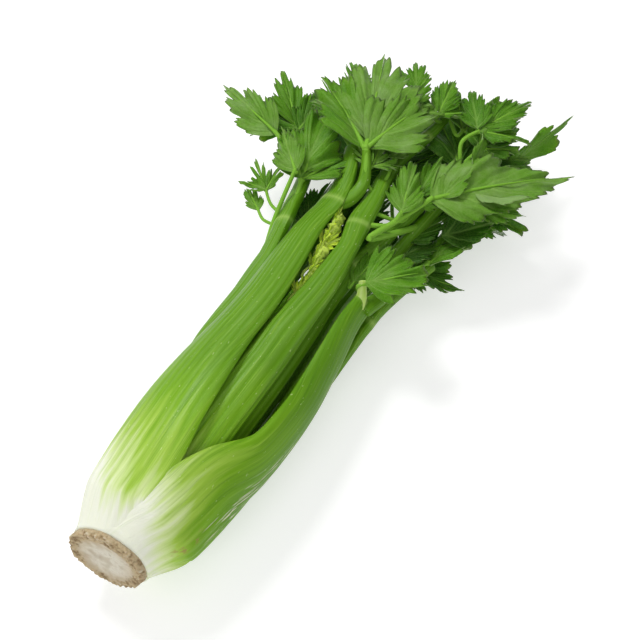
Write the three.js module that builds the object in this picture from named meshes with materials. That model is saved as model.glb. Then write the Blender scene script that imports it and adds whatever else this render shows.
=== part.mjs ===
import * as THREE from "three";

// A head of celery lying on its side, in millimetres. +Y runs from the cut butt to the
// leaves, +Z is up and z = 0 is the surface that the head lies on. Every stalk and every
// leaf is one closed solid swept along its own path.

// The butt: the cut crown that all the stalks grow from.
const axisHeight = 37; // height of the middle of the bundle above the surface
const buttRadius = 23.2; // radius of the cut face
const buttLength = 3; // depth of the crown, from the cut face to the stalk bases
const buttRimRadius = 24.3; // radius where the crown meets the stalk bases
const buttSides = 36; // facets around the crown
const buttChamfer = 1; // worn edge round the cut face

// Stalk sections: a crescent low down, which closes to an oval above the first node.
const stalkStations = 19; // rings along one stalk
const outerPoints = 7; // ring points across the outer face
const innerSpread = [0.92, 0.5, 0, -0.5, -0.92]; // places of the ring points inside
const edgeShare = 0.4; // thickness of a stalk's edges, as a share of its middle
const ownCurve = 0.62; // curve radius of a free stalk, as a share of its width
const wrapEnd = 60; // up to here the stalks follow the round of the bundle
const freeStart = 140; // from here each stalk has its own curve
const lookAhead = 0.25; // share of a step over which a stalk's direction is measured

// Leaf sections: a round leafstalk that opens into a thin blade.
const bladeThickness = 1.6; // thickness of a blade along its midrib
const bladeProfile = [0.42, 0.82, 1, 0.86, 0.62, 0.3]; // half width along the blade
const bladeOffset = 0.45; // place of the first width, in steps along the blade
const stemShare = 0.6; // the leafstalk is round up to this share of its length
const tipWidth = 0.05; // half width of the tip, as a share of the blade's width
const tipThickness = 0.6; // thickness of the tip, as a share of the blade's
const droopGain = 2; // a blade ends this many droops below its rise
const leafRing = [
  [-1, 0], [-0.5, 0.87], [0, 1], [0.5, 0.87], [1, 0], [0.5, -0.87], [0, -1], [-0.5, -0.87],
];

// Stalks. Each row is a station: distance from the butt, angle round the bundle (0 is the
// right side, 90 the top), reach of the outer face from the axis, width, thickness and
// roundness (0 crescent, 1 oval).
const stalks = {
  stalk_front_right: [
    [3.4, 33, 24.8, 34, 5, 0], [23, 33, 33, 45, 6, 0], [40, 31, 36, 48, 7, 0],
    [60, 28, 38.5, 46, 8, 0], [85, 13, 40.5, 42, 9, 0], [110, 8, 41, 40, 9.5, 0],
    [134, 7, 39.5, 36, 9.5, 0], [160, 12, 35.5, 30, 9.5, 0.1], [183, 18, 31.5, 23, 9.5, 0.4],
    [200, 20, 30, 16, 9, 0.9],
  ],
  stalk_front_left: [
    [3.4, 125, 24.8, 35, 5, 0], [23, 125, 33, 47, 6, 0], [40, 124, 36, 52, 7, 0],
    [60, 124, 38.5, 55, 8, 0], [85, 125, 40.5, 53, 9, 0], [110, 125, 41, 46, 9.5, 0],
    [134, 124, 40.5, 37, 9.5, 0], [160, 122, 40, 31, 10, 0], [185, 124, 40, 26, 10, 0.1],
    [207, 127, 40, 21, 10, 0.2], [222, 128, 38.8, 17, 10, 0.5], [236, 127, 38, 14.5, 9.5, 0.9],
    [252, 131, 41.5, 12, 9, 1], [270, 137, 47, 10, 8, 1],
  ],
  stalk_right_edge: [
    [3.4, -44, 24.8, 26, 5, 0], [23, -44, 33, 34, 6, 0], [40, -45, 36, 38, 7, 0],
    [60, -46, 38.5, 38, 8, 0], [85, -50, 40.5, 36, 9, 0], [110, -53, 41, 32, 9.5, 0],
    [134, -53, 40, 28, 9.5, 0], [160, -42, 37.5, 24, 9.5, 0], [183, -31, 35, 20, 9.5, 0.2],
    [200, -20, 34, 15, 9, 0.8], [218, -12, 36, 10, 8, 1], [248, -8, 42, 8, 7, 1],
  ],
  stalk_under_left: [
    [3.4, 236, 24.8, 31, 5, 0], [23, 235, 33, 40, 6, 0], [40, 236, 36, 44, 7, 0],
    [60, 237, 38.5, 44, 8, 0], [85, 238, 40.5, 42, 9, 0], [110, 239, 41.5, 38, 9.5, 0],
    [134, 240, 41.5, 34, 9.5, 0], [160, 240, 41.5, 30, 9.5, 0], [190, 240, 41, 24, 9.5, 0.2],
    [215, 240, 41, 17, 9, 0.8], [245, 239, 41, 12, 8, 1], [285, 238, 42, 8, 7, 1],
  ],
  stalk_centre: [
    [3.4, 72, 19, 24, 4.5, 0], [23, 72, 26.2, 33, 5.5, 0], [40, 72, 28, 33, 6.5, 0],
    [60, 72, 29.6, 29, 7.5, 0], [85, 74, 32, 27, 8.5, 0], [110, 75, 33, 26, 9, 0],
    [134, 76, 33.2, 25, 9, 0], [160, 79, 33, 24, 9, 0], [190, 82, 32, 22, 9, 0.1],
    [215, 88, 31, 18, 9, 0.4], [231, 93, 30, 15, 9, 0.9], [250, 99, 28.5, 12, 8.5, 1],
    [281, 115, 26, 9, 8, 1], [314, 108, 21, 7, 6.5, 1], [332, 106, 19, 5, 5, 1],
  ],
  stalk_back_left: [
    [3.4, 176, 19, 24, 4.5, 0], [23, 176, 26.2, 32, 5.5, 0], [40, 176, 28.2, 34, 6.5, 0],
    [60, 177, 29.7, 33, 7.5, 0], [85, 182, 30.6, 29, 8, 0], [110, 184, 37.6, 25, 8.5, 0],
    [134, 182, 43.5, 25, 9, 0], [160, 176, 45.5, 23, 9.5, 0], [185, 171, 47, 20, 9.5, 0.2],
    [211, 163, 49, 15, 9, 0.8], [236, 160, 53, 10.5, 8, 1], [262, 161, 61, 8, 7, 1],
  ],
  stalk_under: [
    [3.4, 268, 19, 22, 4.5, 0], [23, 268, 26.2, 29, 5.5, 0], [40, 268, 28.2, 31, 6.5, 0],
    [60, 268, 29.7, 31, 7.5, 0], [85, 269, 30.5, 29, 8, 0], [110, 270, 31, 27, 8.5, 0],
    [134, 271, 31.5, 25, 9, 0], [160, 272, 32, 23, 9, 0], [190, 274, 33.5, 19, 9, 0.2],
    [215, 278, 35, 15, 9, 0.8], [245, 284, 36, 10, 8, 1], [295, 290, 36, 6.5, 6, 1],
  ],
  stalk_inner_right: [
    [3.4, -14, 19, 22, 4.5, 0], [23, -14, 26.2, 29, 5.5, 0], [40, -14, 28.2, 30, 6.5, 0],
    [60, -13, 29, 28, 7.5, 0], [85, -13, 29.5, 25, 8, 0], [110, -12, 29, 23, 8.5, 0],
    [134, -11, 27, 20, 8.5, 0], [160, -9, 24.5, 17, 8.5, 0.1], [190, -4, 22, 15, 8.5, 0.3],
    [215, 0, 22, 12, 8, 0.8], [245, 12, 25, 10, 8, 1], [279, 22, 30, 8, 7, 1],
    [308, 28, 34, 6, 5.5, 1],
  ],
  stalk_inner_top: [
    [3.4, 30, 14, 20, 4, 0], [23, 30, 19.8, 26, 5, 0], [40, 32, 20.8, 26, 6, 0],
    [60, 35, 21, 23, 6.5, 0], [85, 38, 21.5, 20, 7, 0], [110, 41, 22, 18, 7.5, 0],
    [134, 44, 22.5, 16, 8, 0], [160, 48, 21.5, 15, 8, 0.1], [190, 54, 19, 13, 8, 0.3],
    [215, 52, 18, 11, 7.5, 0.8], [243, 46, 21, 9, 7, 1], [268, 42, 26, 7, 6.5, 1],
    [294, 40, 31, 5.5, 5, 1],
  ],
  stalk_inner_left: [
    [3.4, 150, 14, 20, 4, 0], [23, 150, 19.8, 26, 5, 0], [40, 150, 20.8, 26, 6, 0],
    [60, 150, 21.2, 24, 6.5, 0], [85, 150, 21.8, 22, 7, 0], [110, 150, 22, 20, 7.5, 0],
    [134, 150, 22.5, 19, 8, 0], [160, 150, 23, 17, 8, 0.1], [190, 149, 24, 15, 8, 0.3],
    [215, 147, 26, 12, 8, 0.8], [240, 146, 28, 10, 7.5, 1], [270, 145, 33, 8, 7, 1],
    [305, 140, 42, 6, 5.5, 1],
  ],
  stalk_inner_under: [
    [3.4, 270, 14, 20, 4, 0], [23, 270, 19.8, 26, 5, 0], [40, 268, 20.8, 26, 6, 0],
    [60, 266, 21.2, 24, 6.5, 0], [85, 264, 21.5, 21, 7, 0], [110, 262, 21.5, 19, 7.5, 0],
    [134, 258, 21.5, 17, 8, 0], [160, 250, 21, 16, 8, 0.1], [190, 242, 21.5, 14, 8, 0.3],
    [215, 234, 23, 12, 8, 0.8], [245, 226, 25, 9, 7, 1], [290, 214, 32, 6, 5.5, 1],
  ],
  heart_stalk_top: [
    [3.4, 90, 9.3, 13, 7.6, 1], [23, 90, 12.5, 15, 10, 1], [40, 90, 13, 14, 10, 1],
    [60, 90, 13, 13, 10, 1], [110, 92, 13, 12, 9.5, 1], [150, 96, 14, 10, 8.5, 1],
    [180, 102, 16, 8, 7, 1], [202, 108, 18, 6, 5.5, 1],
  ],
  heart_stalk_under: [
    [3.4, 270, 9.3, 13, 7.6, 1], [23, 270, 12.5, 15, 10, 1], [40, 270, 13, 14, 10, 1],
    [60, 270, 13, 13, 10, 1], [110, 272, 12.5, 12, 9.5, 1], [150, 280, 12, 10, 9, 1],
    [190, 296, 12, 8, 8, 1], [240, 310, 12, 6, 6, 1],
  ],
};

// Leaves. Each row is the start of the leafstalk (x, distance from the butt, height over
// the axis), its heading (0 along the head, 90 to the right), its rise, then the lengths of
// leafstalk and blade, the width of the blade, its roll, its droop towards the tip, the fold
// of its two halves and the radius of the leafstalk.
const leaves = {
  leaf_far_left: [-68, 256, 22.6, -77, 7, 10, 50, 36, -12, 8, 14, 1.6],
  leaf_left_back: [-64, 265, 13, -50, 12, 10, 41, 46, 4, 4, 10, 1.5],
  leaf_left_low: [-64, 277, 5, -78, 3, 12, 39, 42, 4, 4, 8, 1.5],
  leaf_left_near: [-37, 227, 36, -51, 4, 12, 35, 30, -26, 6, 12, 1.5],
  leaflet_left_a: [-52, 219, 13, -52, 2, 16, 20, 14, 0, 6, 8, 1.1],
  leaflet_left_b: [-54, 212, 7, -58, 0, 8, 15, 12, 0, 4, 8, 1.1],
  leaf_palm: [-41, 226, 26, -14, 15, 10, 53, 54, -6, 14, 8, 1.8],
  leaf_top_centre: [-18, 260, 38, -25, 7, 10, 70, 62, 4, 8, 6, 2.2],
  leaf_top_left: [-40, 276, 25, -60, 2, 12, 30, 28, 0, 6, 10, 1.4],
  leaf_back_curl: [-52, 306, 15, -36, 0, 10, 34, 24, 20, 14, 22, 1.3],
  leaf_back_dark: [-48, 290, 4, -28, 2, 10, 34, 30, 0, 6, 10, 1.3],
  leaf_back_mid: [-22, 297, 31, -4, 2, 10, 33, 42, 0, 6, 10, 1.3],
  leaf_back_yellow: [-26, 330, 14, -34, 2, 8, 26, 28, 0, 6, 10, 1.3],
  leaf_tip_centre: [-5, 314, 23.5, -12, 4, 8, 31, 36, 0, 6, 10, 1.4],
  leaf_tip_right: [6, 319, 16, 19, 3, 8, 42, 38, 0, 4, 8, 1.4],
  leaf_right_top: [24, 310, 20.0, 14, 8, 8, 31, 35, -4, 6, 8, 1.5],
  leaf_right_back: [17, 314, 27, 17, 2, 10, 41, 38, 4, 6, 10, 1.4],
  leaf_right_mid: [17, 302, 4, 1, 3, 10, 42, 38, 0, 4, 8, 1.4],
  leaf_right_side: [25, 291, -10.8, 25, 3, 12, 39, 36, 0, 6, 8, 1.4],
  leaf_big_right: [16, 258, 28.8, 39, 2, 12, 93, 58, 4, 10, 6, 1.9],
  leaf_edge_right: [34, 315, 3, 19, -1, 14, 60, 22, 55, 4, 14, 1.4],
  leaf_right_under: [16, 280, 1, 62, -8, 12, 34, 28, 0, 8, 8, 1.3],
  leaf_right_fold: [35, 236, 1.2, 15, 1, 10, 35, 36, -24, 4, 18, 1.4],
  leaf_right_bright: [18, 198, 19, 43, 16, 8, 37, 48, 2, 14, 8, 1.6],
  leaf_centre_top: [14, 242, 28.5, -21, 17, 6, 39, 40, 4, 8, 8, 1.6],
  leaf_centre_right: [15, 258, 20, -3, 12, 6, 31, 34, 0, 8, 8, 1.3],
  leaf_centre_mid: [-7, 273, 28, -18, 6, 6, 22, 22, 0, 8, 10, 1.2],
  leaf_centre_small: [-14, 259, 30, -11, 13, 6, 22, 15, 0, 8, 10, 1.1],
  leaf_right_small: [14, 197, 14, 6, 9, 6, 36, 20, 0, 4, 8, 1.1],
  leaf_shade_right: [24, 234, -17, 10, 4, 8, 38, 28, 0, 4, 8, 1.2],
  leaf_shade_centre: [4, 262, -5, 2, 4, 14, 42, 32, 0, 6, 8, 1.3],
  leaf_shade_back: [-10, 286, -11, -20, 2, 14, 44, 36, 0, 4, 8, 1.3],
  leaf_shade_left: [-26, 262, -7, -32, 2, 14, 42, 32, 0, 4, 8, 1.3],
  leaf_under_left: [-26, 288, -33, -44, 0, 10, 44, 36, 0, 2, 3, 1.3],
  leaf_under_back: [-18, 292, -32, -6, 0, 14, 46, 34, 0, 2, 3, 1.3],
  leaf_under_right: [16, 300, -32, 32, 0, 10, 46, 36, 0, 2, 3, 1.3],
  heart_leaf_a: [-9, 200, 21, -3, 14, 3, 20, 9, 70, 6, 12, 1],
  heart_leaf_b: [-7, 184, 20, 0, 14, 3, 16, 8, 74, 6, 12, 1],
  heart_leaf_c: [-4, 168, 17, -4, 18, 3, 13, 7, 70, 6, 12, 1],
};

const colours = {
  butt: 0xcfc09a,
  stalk: 0x9cc653,
  heart: 0xc9d96a,
  leaf: 0x3f8a2a,
};

const radians = THREE.MathUtils.degToRad;

// A smooth curve through the rows of a table, read at a share from 0 to 1.
function between(rows, share) {
  const place = share * (rows.length - 1);
  const first = Math.min(Math.floor(place), rows.length - 2);
  const part = place - first;
  const pick = (offset) => rows[THREE.MathUtils.clamp(first + offset, 0, rows.length - 1)];
  return rows[0].map((_, column) => {
    const [before, start, end, after] = [-1, 0, 1, 2].map((k) => pick(k)[column]);
    const rise = (end - before) / 2;
    const fall = (after - start) / 2;
    const square = part * part;
    const cube = square * part;
    return (2 * cube - 3 * square + 1) * start + (cube - 2 * square + part) * rise
      + (3 * square - 2 * cube) * end + (cube - square) * fall;
  });
}

// A closed solid from rings of points that all turn the same way, with flat ends.
function sweptSolid(rings, sections) {
  const count = rings[0].length;
  const positions = rings.flat().flatMap((p) => [p.x, p.y, Math.max(p.z, 0)]);
  const faces = [];
  for (let i = 0; i + 1 < rings.length; i += 1) {
    for (let j = 0; j < count; j += 1) {
      const next = (j + 1) % count;
      const [a, b] = [i * count + j, i * count + next];
      faces.push(a, b, b + count, a, b + count, a + count);
    }
  }
  const first = THREE.ShapeUtils.triangulateShape(sections[0], []);
  const last = THREE.ShapeUtils.triangulateShape(sections[sections.length - 1], []);
  const top = (rings.length - 1) * count;
  first.forEach(([a, b, c]) => faces.push(a, b, c));
  last.forEach(([a, b, c]) => faces.push(top + a, top + c, top + b));
  const geometry = new THREE.BufferGeometry();
  geometry.setAttribute("position", new THREE.Float32BufferAttribute(positions, 3));
  geometry.setIndex(faces);
  geometry.computeVertexNormals();
  return geometry;
}

// The outline of one stalk section: (across, outward) from the middle of its outer face.
function stalkSection([along, , reach, width, thickness, roundness]) {
  const free = THREE.MathUtils.smoothstep(along, wrapEnd, freeStart);
  const curve = THREE.MathUtils.lerp(reach, Math.max(ownCurve * width, width / 2), free);
  const half = Math.asin(Math.min(1, width / 2 / curve));
  const outer = Array.from({ length: outerPoints }, (_, k) => [
    2 * k / (outerPoints - 1) - 1, 0,
  ]);
  const inner = innerSpread.map((place) => [place, 1]);
  return [...outer, ...inner].map(([place, inside], k) => {
    const shape = edgeShare + (1 - edgeShare) * Math.sqrt(1 - place * place);
    const radius = curve - inside * thickness * shape;
    const crescent = new THREE.Vector2(
      radius * Math.sin(place * half), radius * Math.cos(place * half) - curve,
    );
    const turn = Math.PI * (1 - k / (outerPoints - 1));
    const oval = new THREE.Vector2(
      Math.cos(turn) * width / 2, (Math.sin(turn) - 1) * thickness / 2,
    );
    return crescent.lerp(oval, THREE.MathUtils.clamp(roundness, 0, 1));
  });
}

// The middle of a stalk's outer face at one station, and the outward direction there.
function stalkPlace([along, angle, reach]) {
  const outward = new THREE.Vector3(Math.cos(radians(angle)), 0, Math.sin(radians(angle)));
  const place = outward.clone().multiplyScalar(reach);
  return { outward, place: place.add(new THREE.Vector3(0, along, axisHeight)) };
}

function stalkSolid(rows) {
  const rings = [];
  const sections = [];
  const step = 1 / (stalkStations - 1);
  for (let i = 0; i < stalkStations; i += 1) {
    const share = i * step;
    const row = between(rows, share);
    const { outward, place } = stalkPlace(row);
    const reach = step * lookAhead;
    const ahead = stalkPlace(between(rows, Math.min(share + reach, 1))).place;
    const behind = stalkPlace(between(rows, Math.max(share - reach, 0))).place;
    const along = i === 0 ? new THREE.Vector3(0, 1, 0) : ahead.sub(behind).normalize();
    const out = outward.clone().addScaledVector(along, -outward.dot(along)).normalize();
    const side = new THREE.Vector3().crossVectors(along, out);
    const section = stalkSection(row);
    sections.push(section);
    rings.push(section.map((p) => place.clone().addScaledVector(side, p.x)
      .addScaledVector(out, p.y)));
  }
  return sweptSolid(rings, sections);
}

// Half widths and thicknesses along a leaf: two rings of leafstalk, then the blade.
function leafOutline(stem, blade, width, radius) {
  const steps = [[0, radius, radius * 2], [stem * stemShare, radius, radius * 2]];
  bladeProfile.forEach((share, k) => {
    const place = stem + blade * (k + bladeOffset) / bladeProfile.length;
    steps.push([place, Math.max(share * width / 2, radius), bladeThickness]);
  });
  steps.push([stem + blade, width * tipWidth, bladeThickness * tipThickness]);
  return steps;
}

// A leaf walks along its heading; the blade bends down and turns as it goes.
function leafSolid(row) {
  const [x, y, z, heading, rise, stem, blade, width, roll, droop, fold, radius] = row;
  const outline = leafOutline(stem, blade, width, radius);
  const place = new THREE.Vector3(x, y, axisHeight + z);
  const rings = [];
  const sections = [];
  let walked = 0;
  outline.forEach(([distance, half, thickness], i) => {
    const share = Math.max(0, distance - stem) / blade;
    const pitch = radians(rise - droop * share * droopGain);
    const turn = radians(heading);
    const along = new THREE.Vector3(
      Math.sin(turn) * Math.cos(pitch), Math.cos(turn) * Math.cos(pitch), Math.sin(pitch),
    );
    place.addScaledVector(along, distance - walked);
    walked = distance;
    const side = new THREE.Vector3(Math.cos(turn), -Math.sin(turn), 0);
    side.applyAxisAngle(along, radians(roll));
    const up = new THREE.Vector3().crossVectors(side, along);
    const lift = i > 1 ? Math.tan(radians(fold)) * half : 0;
    const section = leafRing.map(([across, over]) => new THREE.Vector2(
      across * half, over * thickness / 2 + Math.abs(across) * lift,
    ));
    sections.push(section);
    rings.push(section.map((p) => place.clone().addScaledVector(side, p.x)
      .addScaledVector(up, p.y)));
  });
  return sweptSolid(rings, sections);
}

// The crown: a short drum with a worn edge round the cut face.
function buttSolid() {
  const steps = [
    [0, buttRadius - buttChamfer], [buttChamfer, buttRadius], [buttLength, buttRimRadius],
  ];
  const rings = [];
  const sections = [];
  steps.forEach(([along, radius]) => {
    const section = Array.from({ length: buttSides }, (_, k) => {
      const turn = Math.PI * (1 - 2 * k / buttSides);
      return new THREE.Vector2(Math.cos(turn) * radius, Math.sin(turn) * radius);
    });
    sections.push(section);
    rings.push(section.map((p) => new THREE.Vector3(p.x, along, axisHeight + p.y)));
  });
  return sweptSolid(rings, sections);
}

function addMesh(group, name, geometry, colour, roughness) {
  const material = new THREE.MeshStandardMaterial({ color: colour, roughness, metalness: 0 });
  const mesh = new THREE.Mesh(geometry, material);
  mesh.name = name;
  group.add(mesh);
}

function headOfCelery() {
  const group = new THREE.Group();
  addMesh(group, "butt", buttSolid(), colours.butt, 0.85);
  Object.entries(stalks).forEach(([name, rows]) => {
    const colour = name.startsWith("heart") ? colours.heart : colours.stalk;
    addMesh(group, name, stalkSolid(rows), colour, 0.45);
  });
  Object.entries(leaves).forEach(([name, row]) => {
    const colour = name.startsWith("heart") ? colours.heart : colours.leaf;
    addMesh(group, name, leafSolid(row), colour, 0.6);
  });
  const box = new THREE.Box3().setFromObject(group);
  const middle = box.getCenter(new THREE.Vector3());
  group.children.forEach((mesh) => {
    mesh.geometry.translate(-middle.x, -middle.y, -box.min.z);
  });
  return group;
}

export default headOfCelery();
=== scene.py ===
import math

import bmesh
import bpy
import numpy as np
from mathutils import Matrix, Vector


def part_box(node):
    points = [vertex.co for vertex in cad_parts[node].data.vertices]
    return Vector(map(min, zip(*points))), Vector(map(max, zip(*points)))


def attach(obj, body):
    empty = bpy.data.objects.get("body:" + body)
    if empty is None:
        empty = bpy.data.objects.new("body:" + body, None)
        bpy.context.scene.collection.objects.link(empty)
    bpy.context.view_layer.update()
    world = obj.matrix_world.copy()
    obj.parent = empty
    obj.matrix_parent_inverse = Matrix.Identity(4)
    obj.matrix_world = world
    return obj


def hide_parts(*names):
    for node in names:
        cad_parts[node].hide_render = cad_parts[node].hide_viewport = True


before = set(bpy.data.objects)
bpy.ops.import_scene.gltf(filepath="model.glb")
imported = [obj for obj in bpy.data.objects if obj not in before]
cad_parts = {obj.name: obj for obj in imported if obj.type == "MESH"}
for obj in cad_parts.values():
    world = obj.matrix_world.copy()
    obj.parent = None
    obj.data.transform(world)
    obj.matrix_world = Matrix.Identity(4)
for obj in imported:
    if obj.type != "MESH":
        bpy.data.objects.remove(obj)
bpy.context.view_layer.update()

# A head of celery lying on its side. Shapes are worked out in millimetres from the middle
# of the cut butt: x to the right, y along the head, z up. toFrame puts them in the frame.
buttLow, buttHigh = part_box("butt")
headOrigin = np.array([
    (buttLow.x + buttHigh.x) / 2,
    buttLow.y,
    (buttLow.z + buttHigh.z) / 2,
])
millimetre = 0.001
seamGap = 2e-7              # points closer than this, in metres, become one
shortestEdge = 1e-8         # and edges shorter than this go
baseSlant = (0.135, 0.15)   # how far the cut leans along, for each millimetre of x and z


def toFrame(points):
    # The base is cut on a slant: a point near it moves along by shares of its x and z.
    slanted = points.copy()
    lean = baseSlant[0] * points[..., 0] + baseSlant[1] * points[..., 2]
    slanted[..., 1] += lean * (1 - smooth(3, 30, points[..., 1]))
    placed = slanted * millimetre + headOrigin
    placed[..., 2] = np.maximum(placed[..., 2], 0.0)
    return placed


def between(rows, share):
    # A smooth curve through the rows: the cubic whose slope at each row is half the step
    # from the row before it to the row after it.
    rows = np.asarray(rows, float)
    spot = np.clip(share, 0, 1) * (len(rows) - 1)
    first = np.minimum(spot.astype(int), len(rows) - 2)
    part = (spot - first)[:, None]
    last = len(rows) - 1
    before, start, end, after = (
        rows[np.clip(first + step, 0, last)] for step in (-1, 0, 1, 2)
    )
    rise, fall = (end - before) / 2, (after - start) / 2
    square, cube = part ** 2, part ** 3
    return ((2 * cube - 3 * square + 1) * start + (cube - 2 * square + part) * rise
            + (3 * square - 2 * cube) * end + (cube - square) * fall)


def smooth(low, high, value):
    # Rises from 0 to 1 between low and high with level ends.
    part = np.clip((value - low) / (high - low), 0, 1)
    return part * part * (3 - 2 * part)


def hump(value, width):
    # A bell: 1 at zero, falling away over the width.
    return np.exp(-(value / width) ** 2)


def unit(vectors):
    return vectors / np.maximum(np.linalg.norm(vectors, axis=-1, keepdims=True), 1e-9)


def noise(points, seed):
    # Smooth noise from -1 to 1: random values at whole-number lattice points, blended with
    # smoothed shares in the three directions.
    cell = np.floor(points).astype(np.int64)
    part = points - cell
    part = part * part * (3 - 2 * part)
    total = np.zeros(points.shape[:-1])
    for corner in range(8):
        step = np.array([corner & 1, corner >> 1 & 1, corner >> 2 & 1])
        grid = cell + step
        mixed = (grid[..., 0] * 73856093 ^ grid[..., 1] * 19349663
                 ^ grid[..., 2] * 83492791 ^ seed * 2654435761) & 0xFFFFFF
        mixed = (mixed ^ mixed >> 11) * 1274126177 & 0xFFFFFF
        value = (mixed ^ mixed >> 9) / 0x7FFFFF - 1
        weight = np.prod(np.where(step == 1, part, 1 - part), axis=-1)
        total += weight * value
    return total


def noiseOf(first, second, seed):
    # The same noise over two numbers.
    first, second = np.broadcast_arrays(first, second)
    return noise(np.stack([first, second, np.zeros_like(first) + 0.37], -1), seed)


class Shell:
    # One closed surface: points, faces and a number per point for each named attribute.
    def __init__(self, points, faces, values):
        self.points, self.faces, self.values = points, faces, values


def ringFaces(rings, around):
    # Quads between neighbouring rings; each ring runs on into its own start.
    ring = np.arange(rings - 1)[:, None] * around
    here = np.arange(around)[None, :]
    after = (here + 1) % around
    quads = np.stack([ring + here, ring + after, ring + after + around, ring + here + around], -1)
    return quads.reshape(-1, 4)


def makePiece(name, shells, material, nodes):
    # Joins shells into one object, closes their seams and turns the faces outwards.
    bm = bmesh.new()
    offset = 0
    points = np.concatenate([toFrame(shell.points.reshape(-1, 3)) for shell in shells])
    faces = []
    for shell in shells:
        faces.append(shell.faces + offset)
        offset += shell.points.reshape(-1, 3).shape[0]
    mesh = bpy.data.meshes.new(name)
    mesh.from_pydata(points.tolist(), [], np.concatenate(faces).tolist())
    for key in shells[0].values:
        layer = mesh.attributes.new(key, "FLOAT", "POINT")
        numbers = np.concatenate([
            np.broadcast_to(shell.values[key], shell.points.shape[:-1]).ravel()
            for shell in shells
        ])
        layer.data.foreach_set("value", numbers.astype(np.float32))
    bm.from_mesh(mesh)
    bmesh.ops.remove_doubles(bm, verts=bm.verts, dist=seamGap)
    bmesh.ops.dissolve_degenerate(bm, edges=bm.edges, dist=shortestEdge)
    bmesh.ops.recalc_face_normals(bm, faces=bm.faces)
    for face in bm.faces:
        face.smooth = True
    bm.to_mesh(mesh)
    bm.free()
    mesh.materials.append(material)
    piece = bpy.data.objects.new(name, mesh)
    bpy.context.scene.collection.objects.link(piece)
    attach(piece, "root")
    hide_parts(*nodes)
    return piece


class Value:
    # One socket of a material's nodes; arithmetic on it adds Math nodes.
    def __init__(self, finish, socket):
        self.finish, self.socket = finish, socket

    def math(self, operation, *others):
        return self.finish.add("ShaderNodeMath", "Value", {"operation": operation},
                               {0: self, **{k + 1: other for k, other in enumerate(others)}})

    def reflected(self, operation, other):
        return self.finish.add("ShaderNodeMath", "Value", {"operation": operation},
                               {0: other, 1: self})

    def __add__(self, other):
        return self.math("ADD", other)

    def __sub__(self, other):
        return self.math("SUBTRACT", other)

    def __mul__(self, other):
        return self.math("MULTIPLY", other)

    def __truediv__(self, other):
        return self.math("DIVIDE", other)

    def __radd__(self, other):
        return self.reflected("ADD", other)

    def __rsub__(self, other):
        return self.reflected("SUBTRACT", other)

    def clamp(self):
        return self.math("MAXIMUM", 0.0).math("MINIMUM", 1.0)

    def rise(self, low, high):
        # Goes from 0 to 1 as this value goes from low to high, with level ends.
        return self.finish.add("ShaderNodeMapRange", "Result",
                               {"interpolation_type": "SMOOTHSTEP"},
                               {"Value": self, "From Min": low, "From Max": high})


class Finish:
    # A material and its nodes.
    def __init__(self, name, constants):
        self.material = bpy.data.materials.new(name)
        self.material.use_nodes = True
        self.tree = self.material.node_tree
        self.tree.nodes.clear()
        self.shader = self.tree.nodes.new("ShaderNodeBsdfPrincipled")
        output = self.tree.nodes.new("ShaderNodeOutputMaterial")
        self.tree.links.new(self.shader.outputs["BSDF"], output.inputs["Surface"])
        for key, number in constants.items():
            self.shader.inputs[key].default_value = number

    def put(self, socket, value):
        if isinstance(value, Value):
            self.tree.links.new(value.socket, socket)
        elif isinstance(value, tuple) and socket.type == "RGBA":
            socket.default_value = (*value, 1.0)
        else:
            socket.default_value = value

    def add(self, kind, output, settings, values):
        node = self.tree.nodes.new(kind)
        for key, setting in settings.items():
            if key == "stops":
                ramp = node.color_ramp
                while len(ramp.elements) < len(setting):
                    ramp.elements.new(1.0)
                for element, (spot, colour) in zip(ramp.elements, setting):
                    element.position = spot
                    element.color = (*colour, 1.0)
            else:
                setattr(node, key, setting)
        for key, value in values.items():
            self.put(node.inputs[key], value)
        return Value(self, node.outputs[output])

    def feed(self, name, value):
        self.put(self.shader.inputs[name], value)

    def attribute(self, name):
        return self.add("ShaderNodeAttribute", "Fac", {"attribute_name": name}, {})

    def place(self):
        return self.add("ShaderNodeTexCoord", "Object", {}, {})

    def grain(self, scale, detail, stretch=(1, 1, 1), distortion=0.0):
        # Noise on the piece's own place, finer along an axis where stretch is larger.
        vector = self.add("ShaderNodeVectorMath", "Vector", {"operation": "MULTIPLY"},
                          {0: self.place(), 1: stretch})
        return self.add("ShaderNodeTexNoise", "Fac", {},
                        {"Vector": vector, "Scale": scale, "Detail": detail,
                         "Distortion": distortion})

    def lines(self, first, second, third, detail):
        # Noise on numbers of the piece's own, such as the place round a stalk and along it.
        vector = self.add("ShaderNodeCombineXYZ", "Vector", {}, {0: first, 1: second, 2: third})
        return self.add("ShaderNodeTexNoise", "Fac", {},
                        {"Vector": vector, "Scale": 1.0, "Detail": detail})

    def mix(self, factor, first, second):
        return self.add("ShaderNodeMix", 2, {"data_type": "RGBA"},
                        {0: factor, 6: first, 7: second})

    def ramp(self, value, stops):
        return self.add("ShaderNodeValToRGB", "Color", {"stops": stops}, {0: value})

    def bump(self, height, strength, distance):
        self.feed("Normal", self.add("ShaderNodeBump", "Normal", {},
                                     {"Height": height, "Strength": strength,
                                      "Distance": distance}))


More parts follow.
